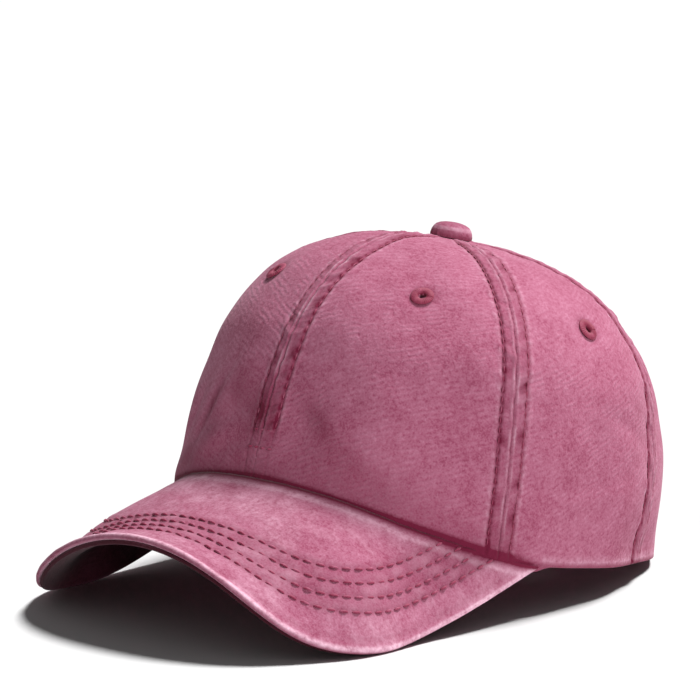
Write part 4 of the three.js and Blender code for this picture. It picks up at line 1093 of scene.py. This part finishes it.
def peak_root(t, gap):
    """The back edge in the flat pattern, a gap in front of the crown."""
    x, y = hem_plan(t * PEAK_END_ANGLE)
    size = 1 + gap / np.hypot(x, y)
    bend = PEAK_BEND_RADIUS * np.arcsin(np.clip(x * size / PEAK_BEND_RADIUS, -0.98, 0.98))
    return bend, -(y * size + CROWN_FRONT_DEPTH)


def edge_distance(bend, forward):
    """Distance in the flat pattern from each point to the nearest point of the front edge."""
    t = np.linspace(-1, 1, 321)
    edge_bend, edge_forward = peak_front(t)
    gap_bend = bend[..., None].astype(np.float32) - edge_bend.astype(np.float32)
    gap_forward = forward[..., None].astype(np.float32) - edge_forward.astype(np.float32)
    return np.sqrt((gap_bend**2 + gap_forward**2).min(-1)).astype(float)


def peak_cover(columns, rows, top, thickness, inset, relief):
    """Outer and inner grids of one cover, rounded along the front edge."""
    t = PEAK_SPAN * np.sin(np.linspace(-1, 1, columns) * math.pi / 2)[None, :]
    share = (1 - (1 - np.linspace(0, 1, rows)) ** 1.15)[:, None]
    root_bend, root_forward = peak_root(t, 0.25)
    front_bend, front_forward = peak_front(t)
    width = np.hypot(front_bend - root_bend, front_forward - root_forward)
    radius = thickness / 2
    reach = np.clip(1 - (inset + radius) / np.maximum(width, 0.1), 0.02, 1)
    bend = mix(root_bend, front_bend, share * reach)
    forward = mix(root_forward, front_forward, share * reach)
    distance = edge_distance(bend, forward)
    lift, worn, deep = relief(bend, forward, distance)
    crown_gap = width * reach * share
    outer, _ = peak_point(bend, forward, top + lift)
    inner, _ = peak_point(bend, forward, np.full_like(bend, top - thickness))
    way = unit(np.diff(outer[-2:], axis=0))[0]
    turn = (np.linspace(0, 1, EDGE_ROWS + 1)[1:] * math.pi / 2)[:, None, None]
    centre = (outer[-1] + inner[-1]) / 2
    up = (outer[-1] - inner[-1]) / 2
    size = np.linalg.norm(up, axis=-1, keepdims=True)
    roll_out = centre + up * np.cos(turn) + way * size * np.sin(turn)
    roll_in = centre - up * np.cos(turn) + way * size * np.sin(turn)
    uv, worn, deep, crown_gap = (longer(field, EDGE_ROWS) for field in (
        np.stack([bend, forward], -1), worn, deep, crown_gap))
    # painted shade: the rounded edge loses its worn paleness and darkens as it turns round
    rolled = np.concatenate([np.zeros(rows), np.sin(turn[:, 0, 0]) ** 2])[:, None]
    return (np.concatenate([outer, roll_out]), np.concatenate([inner, roll_in]), uv,
            worn * (1 - 0.85 * rolled), deep + 0.34 * rolled, crown_gap)


def upper_relief(bend, forward, distance):
    """Grooves and light puckers at the four rows, a worn rim, soft swells between."""
    band = smooth((distance - 10.5) / 2) * (1 - smooth((distance - 28.5) / 3))
    rows = sum(bell(distance - row, 0.75) for row in ROW_FROM_EDGE)
    place = np.stack([bend, forward, 0 * bend], -1)
    soft = swells(place, 34, 71)
    fine = swells(place, 9, 72)
    lift = 0.12 * soft + 0.05 * fine - 0.3 * rows + 0.12 * band + 0.1 * fine * band
    lift = lift + 0.25 * bell(distance - 1.6, 1.1)
    rim = 1 - smooth((distance - 1.3) / 1.3)
    mottle = np.clip(swells(place, 5.5, 74), 0, 1)
    worn = 0.75 * rim + 0.14 * np.clip(fine, 0, 1) * band + 0.14 * np.clip(soft, 0, 1)
    worn = worn + 0.1 * mottle * (1 - band)
    deep = 0.3 * band + 0.2 * rows * np.clip(0.7 + 0.3 * fine, 0, 1)
    deep = deep + 0.12 * bell(distance - 4.6, 1.2)
    return lift, worn, deep


def plain_relief(bend, forward, distance):
    """The under side: level, with a worn rim and an uneven painted shade all over."""
    place = np.stack([bend, forward, 0 * bend], -1)
    rim = 1 - smooth((distance - 0.9) / 1.2)
    return 0 * bend, 0.6 * rim, 0.8 + 0.1 * swells(place, 20, 73)


def peak_piece(name, node, material, grids):
    """Makes one cover, with painted shade where it meets the crown and a little paler just in
    front.
    """
    outer, inner, uv, worn, deep, gap = grids
    root_shade = 1.6 * bell(gap, 1.5)
    root_light = 0.4 * bell(gap - 3.8, 1.2)
    points, faces, used = sheet_body(outer, inner)
    make_piece(name, points, faces, material, node, both_faces(uv, used, 2), cloth_marks(
        both_faces(worn + root_light, used), both_faces(deep + root_shade, used)))


upper = peak_cover(PEAK_COLUMNS, PEAK_ROWS, *UPPER_COVER, upper_relief)
peak_piece("peak_upper_cloth", "brim_upper_cover", TWILL_PEAK_PAINTED_SHADE, upper)
under = peak_cover(UNDER_COLUMNS, UNDER_ROWS, *UNDER_COVER, plain_relief)
peak_piece("peak_under_cloth", "brim_under_cover", TWILL_PAINTED_SHADE, under)

# %% [markdown]
# The four stitch rows are curves at even distances inside the front edge. Each ends where it
# meets the crown, and each starts its stitches at a place of its own.


# %% Rows of stitches on the peak
def offset_path(distance, lift):
    """The curve inside the front edge at one distance, cut where it meets the crown."""
    t = np.linspace(-1, 1, 900)
    bend, forward = peak_front(t)
    step_bend, step_forward = np.gradient(bend), np.gradient(forward)
    size = np.hypot(step_bend, step_forward)
    bend, forward = bend + step_forward / size * distance, forward - step_bend / size * distance
    point, normal = peak_point(bend, forward, np.full_like(bend, lift))
    angle = np.arctan2(point[:, 0], -point[:, 1])
    hem_x, hem_y = hem_plan(np.linspace(-PEAK_END_ANGLE, PEAK_END_ANGLE, 400))
    hem_reach = np.interp(angle, np.arctan2(hem_x, -hem_y), np.hypot(hem_x, hem_y))
    clear = np.hypot(point[:, 0], point[:, 1]) > hem_reach + 1.2
    return point[clear], normal[clear]


rows = []
for number, row in enumerate(ROW_FROM_EDGE):
    path, normals = offset_path(row, -0.05)
    rows.append(stitched(path, normals, PEAK_PITCH, PEAK_STITCH, 0.2 + 0.23 * number))
stitch_piece("peak_stitching", rows)

# %% [markdown]
# The arch and the slit are bound with a folded tape. Its section is a flat closed loop that wraps
# the raw edge of the panels: a smooth fold at the opening, a flat width, a small piped ridge and
# a stitched outer edge, inside and outside alike. One function carries it round both openings.

# %% Bindings
BINDING_PROFILE = np.array([
    (0.00, -0.8), (-0.05, -0.4), (-0.05, 0.2), (0.01, 0.7), (0.07, 1.0), (0.14, 0.95),
    (0.28, 0.86), (0.45, 0.85), (0.6, 0.88), (0.66, 0.72), (0.7, 0.5), (0.74, 0.74),
    (0.8, 1.28), (0.85, 1.3), (0.9, 0.95), (0.95, 0.8), (0.99, 0.5), (1.0, 0.1), (0.98, -0.3),
    (0.98, -1.5), (1.0, -1.9), (0.97, -2.2), (0.85, -2.3), (0.6, -2.3), (0.3, -2.35),
    (0.1, -2.35), (0.03, -2.1), (-0.02, -1.6), (-0.02, -1.2),
])


def even_turns(edge, grow, count, full):
    """Values of t that are evenly spaced along an edge, closed or open."""
    t = np.linspace(1e-6, full - 1e-6, 1600)
    place = edge(grow, t)
    length = lengths_along(place, 0)
    stops = np.linspace(0, length[-1], count, endpoint=full < 6)
    return np.interp(stops, length, t), stops


def binding(edge, width, count, full, seed):
    """Carries the profile round an opening, with puckers, worn ridges and a dark groove."""
    t, along = even_turns(edge, width * 0.6, count, full)
    fine = 4
    place = np.arange(len(BINDING_PROFILE) * fine) / fine
    ring = np.concatenate([BINDING_PROFILE, BINDING_PROFILE[:1]])
    w = np.interp(place, np.arange(len(ring)), ring[:, 0])
    lift = np.interp(place, np.arange(len(ring)), ring[:, 1])
    inner_edge, outer_edge = edge(0.0, t), edge(width, t)
    flat = inner_edge[:, None] + (outer_edge - inner_edge)[:, None] * w[None, :, None]
    s = along[:, None]
    outside = (lift > -0.5)[None, :]
    pucker = ripple(s + 2 * w, 9, seed)
    tight = ripple(s, 4.4, seed + 1)
    lifts = lift + np.where(outside, 0.1 * pucker + 0.05 * tight * bell(w - 0.7, 0.2), 0)
    worn = (0.75 * bell(w - 0.83, 0.06) * (0.75 + 0.25 * tight)
            + 0.65 * bell(w - 0.04, 0.07) + 0.4 * np.clip(pucker, 0, 1) * 0.6)
    patch = ripple(s, 13, seed + 2)
    deep = (0.75 * bell(w - 0.7, 0.05) + 0.35 * bell(w - 1.0, 0.05)
            + 0.45 * np.clip(patch - 0.2, 0, 1) * bell(w - 0.5, 0.25))
    return flat, lifts, worn * outside, deep * outside, along, w


def cloth_tube(name, node, sections, closed, u, v, worn, deep, ends=(0, 0)):
    """Makes a tube of twill. An open tube's two end points take marks of their own."""
    points, faces = tube_body(sections, closed)
    shape = sections.shape[:2]
    spare = len(points) - shape[0] * shape[1]
    u, v, worn, deep = (
        np.append(np.broadcast_to(field, shape), [end] * spare)
        for field, end in ((u, 0), (v, 0), (worn, ends[0]), (deep, ends[1])))
    make_piece(name, points, faces, TWILL, node, np.stack([u, v], -1),
               cloth_marks(worn, deep))


def binding_piece(name, node, edge, width, count, full, seed, sink=None):
    """Makes one binding, pushed down where a sink function says so."""
    flat, lifts, worn, deep, along, w = binding(edge, width, count, full, seed)
    if sink is not None:
        lifts = sink(flat, lifts)
    sections = back_point(flat[..., 0], flat[..., 1], lifts)
    cloth_tube(name, node, sections, full > 6, along[:, None], w * width, worn, deep, (0, 0.5))


def under_arch(flat, lifts):
    """Where the slit's band passes behind the arch's band, it sinks into it."""
    inside = smooth((1.06 - arch_reach(flat[..., 0], flat[..., 1], BINDING_WIDTH)) / 0.06)
    return np.where(lifts > -0.8, mix(lifts, np.minimum(lifts, -0.2), inside),
                    mix(lifts, np.maximum(lifts, -1.6), inside))


binding_piece("arch_tape", "arch_binding", arch_edge, BINDING_WIDTH, 170, math.pi, 81)
binding_piece("slit_tape", "slit_binding", slit_edge, SLIT_BAND_WIDTH, 150, 2 * math.pi, 91,
              under_arch)


def band_path(edge, width, share, full, lift):
    """A path along a binding, at a share of its width, with its place on the flat sheet."""
    t, _ = even_turns(edge, width * 0.6, 500, full)
    inner_edge, outer_edge = edge(0.0, t), edge(width, t)
    flat = mix(inner_edge, outer_edge, share)
    angle, down = back_place(flat[:, 0], flat[:, 1])
    return back_point(flat[:, 0], flat[:, 1], lift), smooth_normal(angle, down), flat


BINDING_ROW, BINDING_ROW_LIFT, BINDING_PITCH, BINDING_STITCH = 0.7, 0.35, 3.4, (2.5, 0.26)
path, normals, _ = band_path(arch_edge, BINDING_WIDTH, BINDING_ROW, math.pi, BINDING_ROW_LIFT)
bodies = [stitched(path, normals, BINDING_PITCH, BINDING_STITCH)]
path, normals, flat = band_path(slit_edge, SLIT_BAND_WIDTH, BINDING_ROW, 2 * math.pi,
                                BINDING_ROW_LIFT)
clear = arch_reach(flat[:, 0], flat[:, 1], BINDING_WIDTH) > 1.03
bodies.append(stitched(path[clear], normals[clear], BINDING_PITCH, BINDING_STITCH))
stitch_piece("binding_stitching", bodies)

# %% [markdown]
# Inside the hem sits a sweatband of the same twill, a strip three centimetres high that follows
# the panels' inner faces. Its top edge is folded and stitched.

# %% Sweatband
SWEATBAND_HEIGHT, SWEATBAND_THICKNESS, SWEATBAND_EASE = 30.0, 1.2, 0.5
BAND_END = float(back_angle(np.array(ARCH_HALF_WIDTH + BINDING_WIDTH + 0.6), np.array(1.0)))


def at_heights(angles, heights, lift):
    """Points at heights over the hem along each meridian, by looking up its own heights."""
    down = np.linspace(0.5, 1, 60)
    angle, downs = np.meshgrid(angles, down, indexing="ij")
    line = crown_surface(angle, downs, lift)
    above = line[..., 2] - line[:, -1:, 2]
    share = np.stack([np.interp(heights, column[::-1], down[::-1]) for column in above])
    return crown_surface(np.broadcast_to(angles[:, None], share.shape), share, lift)


def sweatband_piece():
    """An inner strip with a rounded top, from one side of the arch round to the other."""
    angles = np.linspace(-BAND_END, BAND_END, 260)
    turn = np.linspace(0, math.pi / 2, 6)[::-1]
    fold = SWEATBAND_HEIGHT - 0.6 + 0.6 * np.sin(turn)
    heights = np.concatenate([fold, np.linspace(SWEATBAND_HEIGHT - 0.8, 0.3, 22)])
    half = SWEATBAND_THICKNESS / 2
    bulge = np.concatenate([np.cos(turn), np.ones(22)]) * half
    middle = -(CLOTH_WALL + SWEATBAND_EASE + half)
    centre = at_heights(angles, heights, middle)
    normal = smooth_normal(np.broadcast_to(angles[:, None], centre.shape[:2]),
                           np.full(centre.shape[:2], 0.92))
    row = bell(heights - (SWEATBAND_HEIGHT - 3), 0.8)
    ripples = 0.12 * swells(centre, 14, 96)
    outer = centre + normal * bulge[:, None]
    inner = centre - normal * (bulge - 0.3 * row - ripples * (bulge > 0.3))[..., None]
    points, faces, used = sheet_body(outer, inner)
    along = lengths_along(centre, 0)
    uv = np.stack([along, np.broadcast_to(heights, along.shape)], -1)
    worn = np.broadcast_to(0.5 * bell(heights - SWEATBAND_HEIGHT, 1), along.shape)
    # painted shade all over the band, and a darker stitch row
    deep = np.broadcast_to(0.25 + 0.4 * row, along.shape)
    make_piece("sweatband_cloth", points, faces, TWILL_PAINTED_SHADE, "sweatband",
               both_faces(uv, used, 2),
               cloth_marks(both_faces(worn, used), both_faces(deep, used)))


sweatband_piece()

# %% [markdown]
# The strap crosses the arch from the wearer's left to a small brass slider near the right side.
# It runs under the slider's first bar, over the middle one and under the last. A short tab holds
# the last bar to the crown. The strap is a ribbon with puffed, stitched edges.

# %% Strap, tab and buckle
STRAP_WIDTH, STRAP_THICKNESS, STRAP_ABOVE_HEM, STRAP_END_INSET = 18.0, 1.4, 4.6, 1.4
BUCKLE_CENTRE, BUCKLE_BAR_SPACING, BUCKLE_WIRE_RADIUS, BUCKLE_SIDE_ROOM = -27.0, 6.5, 0.9, 0.8
TAB_THICKNESS, TAB_WIDTH, CLEARANCE = 0.8, 16.5, 0.3
BINDING_INSIDE = -(CLOTH_WALL + 0.5)
STRAP_DEPTH = BINDING_INSIDE - 2 * CLEARANCE - STRAP_THICKNESS / 2
BUCKLE_DEPTH = BINDING_INSIDE - 2 * CLEARANCE - TAB_THICKNESS - CLEARANCE / 2
WEAVE = BUCKLE_WIRE_RADIUS + CLEARANCE + STRAP_THICKNESS / 2
TAB_EYE_RADIUS = BUCKLE_WIRE_RADIUS + CLEARANCE + TAB_THICKNESS
TAIL_DEPTH = BUCKLE_DEPTH - TAB_EYE_RADIUS - 2 * CLEARANCE - STRAP_THICKNESS / 2
BARS = [BUCKLE_CENTRE + side * BUCKLE_BAR_SPACING for side in (1, 0, -1)]
ARCH_SIDE = ARCH_HALF_WIDTH + BINDING_WIDTH - STRAP_END_INSET


def strap_depths(across):
    """Depth under the crown's face: level, then woven under, over and under the bars."""
    stops = np.array([ARCH_SIDE, BARS[0] + 2 * BUCKLE_BAR_SPACING, BARS[0], BARS[1], BARS[2],
                      -ARCH_SIDE])
    depths = np.array([STRAP_DEPTH, STRAP_DEPTH, BUCKLE_DEPTH - WEAVE, BUCKLE_DEPTH + WEAVE,
                       TAIL_DEPTH, TAIL_DEPTH])
    i = np.clip(np.searchsorted(-stops, -across) - 1, 0, len(stops) - 2)
    share = (across - stops[i]) / (stops[i + 1] - stops[i])
    return mix(depths[i], depths[i + 1], (1 - np.cos(math.pi * share)) / 2)


def ribbon_piece(name, node, across, depth, bottom, width, thickness, seed):
    """Carries a rounded band section along the strap's path, with two stitched grooves."""
    count = 18
    side = np.linspace(-1, 1, count)
    half = width / 2
    puff = thickness / 2 * (1 - np.abs(side) ** 14) ** 0.5
    groove = bell(np.abs(side) * half - (half - 2.2), 0.55)
    up = np.concatenate([side, side[::-1]]) * half + bottom + half
    face = np.repeat([1.0, -1.0], count)
    shape = np.concatenate([puff, puff[::-1]])
    grooves = np.concatenate([groove, groove[::-1]])
    pucker = ripple(across[:, None] + 0.3 * up, 8, seed)
    relief = 0.07 * pucker - 0.22 * grooves + 0.1 * bell(np.abs(up - bottom - half) - half, 1.2)
    lift = depth[:, None] + face * (shape + relief * (shape > 0.2))
    sections = back_point(across[:, None], up[None, :], lift)
    rim = bell((half - np.abs(up - bottom - half)), 0.9)
    worn = 0.85 * rim + 0.3 * np.clip(pucker, 0, 1)
    cloth_tube(name, node, sections, False, across[:, None], up, worn, 0.75 * grooves, (0.4, 0))


strap_across = np.linspace(ARCH_SIDE, -ARCH_SIDE, 150)
ribbon_piece("strap_cloth", "strap", strap_across, strap_depths(strap_across), STRAP_ABOVE_HEM,
             STRAP_WIDTH, STRAP_THICKNESS, 101)


def tab_piece():
    """A tongue folded round the last bar: the fold is a circle, its two ends lie together."""
    bar = BARS[2]
    middle = BUCKLE_WIRE_RADIUS + CLEARANCE + TAB_THICKNESS / 2
    lay = CLEARANCE / 4 + TAB_THICKNESS / 2
    start = math.asin(lay / middle)
    turn = np.linspace(math.pi - start, start - math.pi, 26)
    across = np.concatenate([np.linspace(-ARCH_SIDE, bar - middle, 12)[:-1],
                             bar + middle * np.cos(turn),
                             np.linspace(bar - middle, -ARCH_SIDE, 12)[1:]])
    depth = np.concatenate([np.full(11, lay), middle * np.sin(turn), np.full(11, -lay)])
    way = np.stack([np.gradient(across), np.gradient(depth)], -1)
    way /= np.linalg.norm(way, axis=1, keepdims=True)
    bottom = STRAP_ABOVE_HEM + (STRAP_WIDTH - TAB_WIDTH) / 2
    side = np.linspace(-1, 1, 12)
    thick = TAB_THICKNESS / 2 * 0.94 * (1 - np.abs(side) ** 12) ** 0.5
    up = np.concatenate([side, side[::-1]]) * TAB_WIDTH / 2 + bottom + TAB_WIDTH / 2
    push = np.concatenate([thick, -thick[::-1]])
    flat_across = across[:, None] - way[:, 1:] * push
    flat_depth = depth[:, None] + way[:, :1] * push
    sections = back_point(flat_across, up[None, :], BUCKLE_DEPTH + flat_depth)
    rim = bell(TAB_WIDTH / 2 - np.abs(up - bottom - TAB_WIDTH / 2), 1)
    steps = np.arange(len(across))[:, None]
    cloth_tube("tab_cloth", "strap_tab", sections, False, steps, up, 0.7 * rim, 0)


tab_piece()


def wire(centres, sides, up_way, radius, closed):
    """A round wire along a path given by across, up and depth on the back's flat sheet."""
    turn = np.arange(12) / 12 * 2 * math.pi
    ring = (centres[:, None] + sides[:, None] * (radius * np.cos(turn))[:, None]
            + up_way[:, None] * (radius * np.sin(turn))[:, None])
    return tube_body(back_point(ring[..., 0], ring[..., 1], BUCKLE_DEPTH + ring[..., 2]), closed)


def buckle_piece():
    """A rounded frame of brass wire with a middle bar, its corners quarter circles."""
    low = STRAP_ABOVE_HEM - BUCKLE_SIDE_ROOM - BUCKLE_WIRE_RADIUS
    high = STRAP_ABOVE_HEM + STRAP_WIDTH + BUCKLE_SIDE_ROOM + BUCKLE_WIRE_RADIUS
    middle, tall, corner = (low + high) / 2, (high - low) / 2, 1.6
    wide = BUCKLE_BAR_SPACING
    quarter = np.linspace(0, math.pi / 2, 7)
    parts = []
    for k, (cx, cy) in enumerate(((1, 1), (-1, 1), (-1, -1), (1, -1))):
        turn = quarter + k * math.pi / 2
        parts.append(np.stack([BUCKLE_CENTRE + cx * (wide - corner) + corner * np.cos(turn),
                               middle + cy * (tall - corner) + corner * np.sin(turn)], -1))
    shut = np.concatenate([*parts, parts[0][:1]])
    length = lengths_along(shut, 0)
    loop = at_stops(np.linspace(0, length[-1], 90, endpoint=False), length, shut)
    way = unit(np.roll(loop, -1, 0) - np.roll(loop, 1, 0))
    flat = np.zeros((len(loop), 1))
    out = np.concatenate([np.stack([way[:, 1], -way[:, 0]], -1), flat], 1)
    depth_way = np.tile([0.0, 0, 1], (len(loop), 1))
    frame_wire = wire(np.concatenate([loop, flat], 1), out, depth_way, BUCKLE_WIRE_RADIUS, True)
    bar_up = np.linspace(low, high, 14)
    bar = np.stack([np.full(14, BUCKLE_CENTRE), bar_up, np.zeros(14)], -1)
    bar_wire = wire(bar, np.tile([1.0, 0, 0], (14, 1)), np.tile([0.0, 0, 1], (14, 1)),
                    BUCKLE_WIRE_RADIUS * 0.97, False)
    points, faces = join_bodies([frame_wire, bar_wire])
    make_piece("buckle_brass", points, faces, BRASS, "buckle_frame")


buckle_piece()

# %% [markdown]
# Six eyelets let air in. Each is a ring of dense thread laid like spokes round a small hole, so
# the ring has fine ridges that run from its middle outwards. The button is a dome covered with
# the same twill, gathered a little under its edge.


# %% Eyelets and button
def round_body(profile, angle, down, spokes, ridge, seed):
    """Turns a closed profile of radius and height round the crown's outward direction."""
    centre = crown_surface(angle, down)
    out = smooth_normal(angle, down)
    side = unit(np.cross(np.array([0, 0, 1.0]), out) + np.array([1e-6, 0, 0]))
    ahead = np.cross(out, side)
    turns = np.arange(spokes * 4) / (spokes * 4) * 2 * math.pi
    radius, height = profile[:, 0], profile[:, 1]
    uneven = ripple(turns * 10, 14, seed) * 0.06
    wave = ridge * np.cos(spokes * turns)[:, None] * smooth((height + 0.2) / 0.5)[None, :]
    lift = height[None, :] + wave + uneven[:, None] * (height > 0.2)
    wide = radius[None, :] + 0.25 * wave
    ways = np.cos(turns)[:, None] * side + np.sin(turns)[:, None] * ahead
    return centre + ways[:, None] * wide[..., None] + out * lift[..., None]


EYELET_PROFILE = np.array([
    (1.5, -1.7), (1.45, -0.4), (1.55, 0.1), (1.8, 0.4), (2.3, 0.58), (2.9, 0.6), (3.5, 0.48),
    (4.0, 0.25), (4.3, 0.0), (4.35, -0.2), (3.6, -0.5), (2.6, -0.6), (2.3, -1.0), (2.2, -1.75),
])


def eyelet_piece(name, eyelet, seed):
    """Makes the eyelet of one panel, with its spokes of thread."""
    sections = round_body(EYELET_PROFILE, math.radians(eyelet[0]), eyelet[1], EYELET_SPOKES,
                          EYELET_RIDGE, seed)
    points, faces = tube_body(sections, True)
    make_piece("stitched_eyelet_" + name, points, faces, EYELET_THREAD,
               "eyelet_" + name)


for number, (name, panel) in enumerate(PANELS.items()):
    eyelet_piece(name, panel[3], 111 + number)

BUTTON_PROFILE = np.array([
    (0.02, 6.45), (1.6, 6.4), (3.2, 6.2), (4.8, 5.8), (6.2, 5.1), (7.1, 4.1), (7.65, 2.9),
    (7.85, 1.7), (7.8, 0.8), (7.55, 0.25), (7.0, 0.3), (6.4, 1.1), (1.7, 1.1), (1.7, -2.2),
    (4.5, -2.3), (4.5, -3.1), (0.02, -3.1),
])
BUTTON_RADIUS, SEAT_STEPS = 7.85, 12


def button_seat():
    """The middle of the cloth under the button's rim, and three directions: two lines between
    opposite points of the cloth, and the axis that stands square to them."""
    angle = np.arange(SEAT_STEPS) / SEAT_STEPS * 2 * math.pi
    rim = crown_surface(angle, share_at(angle, BUTTON_RADIUS))
    quarter = SEAT_STEPS // 4
    forwards, sideways = rim[0] - rim[2 * quarter], rim[quarter] - rim[3 * quarter]
    axis = unit(np.cross(forwards, sideways))
    side = unit(np.cross(forwards, axis))
    return rim.mean(0), side, np.cross(axis, side), axis


def button_piece():
    """A dome with a slightly uneven cloth cover and gathers round its lower edge."""
    fine = np.arange(0, len(BUTTON_PROFILE) - 1 + 1e-9, 0.25)
    steps = np.arange(len(BUTTON_PROFILE))
    radius = np.interp(fine, steps, BUTTON_PROFILE[:, 0])
    height = np.interp(fine, steps, BUTTON_PROFILE[:, 1])
    turns = np.arange(96) / 96 * 2 * math.pi
    gathers = 0.12 * np.cos(17 * turns + 1.3 * np.sin(3 * turns))
    gather = gathers[:, None] * bell(height - 1.2, 0.9)
    wide = radius + gather * (radius > 6)
    x = np.cos(turns)[:, None] * wide
    y = np.sin(turns)[:, None] * wide
    z = np.broadcast_to(height, x.shape) + 0.08 * np.sin(2 * turns + 0.6)[:, None] * (height > 3)
    middle, side, ahead, axis = button_seat()
    sections = middle + x[..., None] * side + y[..., None] * ahead + z[..., None] * axis
    rim = bell(np.hypot(radius - 7.2, (height - 3.8) * 1.2), 1.0)
    # painted shade under the button's rim; the cover is also darkened a little all over, and more
    # at its top
    low = 0.45 + np.clip((2.6 - height) / 1.6, 0, 1) + 0.5 * np.clip((height - 4.9) / 0.6, 0, 1)
    cloth_tube("button_cloth", "top_button", sections, True, x, y, 0.5 * rim, 0.4 * low)


button_piece()

# %% [markdown]
# The cap stands on a plain pale floor under soft studio light. A far lamp high up behind it gives
# the bright top and lets the shadow fall forward. A softer one shines from the wearer's left. It
# leaves out the floor, so that the shadow under the peak stays dark. A weak even sky fills in.

# %% Floor and light
SPAN, FLOOR_GREY, SKY_STRENGTH = 9.0, 0.76, 0.12
# the way to each lamp, its spread in degrees and its strength
KEY_LAMP, SIDE_LAMP = ((0.03, 0.5, 0.87), 14, 4.6), ((0.87, -0.3, 0.4), 40, 1.95)
floor_mesh = bpy.data.meshes.new("floor")
floor_mesh.from_pydata([(-SPAN, -SPAN, 0), (SPAN, -SPAN, 0), (SPAN, SPAN, 0), (-SPAN, SPAN, 0)],
                       [], [(0, 1, 2, 3)])
floor = bpy.data.objects.new("floor", floor_mesh)
floor_material, _, shader, _ = new_material("pale_floor")
shader.inputs["Base Color"].default_value = (FLOOR_GREY, FLOOR_GREY, FLOOR_GREY, 1)
shader.inputs["Roughness"].default_value = 0.9
floor_mesh.materials.append(floor_material)
bpy.context.scene.collection.objects.link(floor)
floor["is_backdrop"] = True


def far_lamp(name, way, spread, strength):
    """A lamp so far off that it lights the whole floor evenly, from one way, with its spread."""
    data = bpy.data.lights.new(name, "SUN")
    data.angle, data.energy = math.radians(spread), strength
    light = bpy.data.objects.new(name, data)
    light.location = Vector(way) * 2
    light.rotation_mode = "QUATERNION"
    light.rotation_quaternion = (-Vector(way)).to_track_quat("-Z", "Y")
    bpy.context.scene.collection.objects.link(light)
    return light


far_lamp("key", *KEY_LAMP)
cap_lamp = far_lamp("side", *SIDE_LAMP)
off_floor = bpy.data.collections.new("off_floor")
off_floor.objects.link(floor)
off_floor.collection_objects[0].light_linking.link_state = "EXCLUDE"
cap_lamp.light_linking.receiver_collection = off_floor
world = bpy.data.worlds.new("pale_room")
world.use_nodes = True
sky = next(n for n in world.node_tree.nodes if n.type == "BACKGROUND")
sky.inputs["Color"].default_value = (1, 1, 1, 1)
sky.inputs["Strength"].default_value = SKY_STRENGTH
bpy.context.scene.world = world
bpy.context.scene.view_settings.view_transform = "Standard"
print("lamps:", len(bpy.data.lights), "and a sky of strength", SKY_STRENGTH)

# %% [markdown]
# Last come the measurements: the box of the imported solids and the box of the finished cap, which
# must not differ by more than the cloth may stand proud.

# %% Sizes, and the end
visual_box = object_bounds()
for name, (low, high) in (("packed", CAD_BOX), ("visual", visual_box)):
    print(name, "box, mm:", [round((b - a) * 1000, 1) for a, b in zip(low, high)])
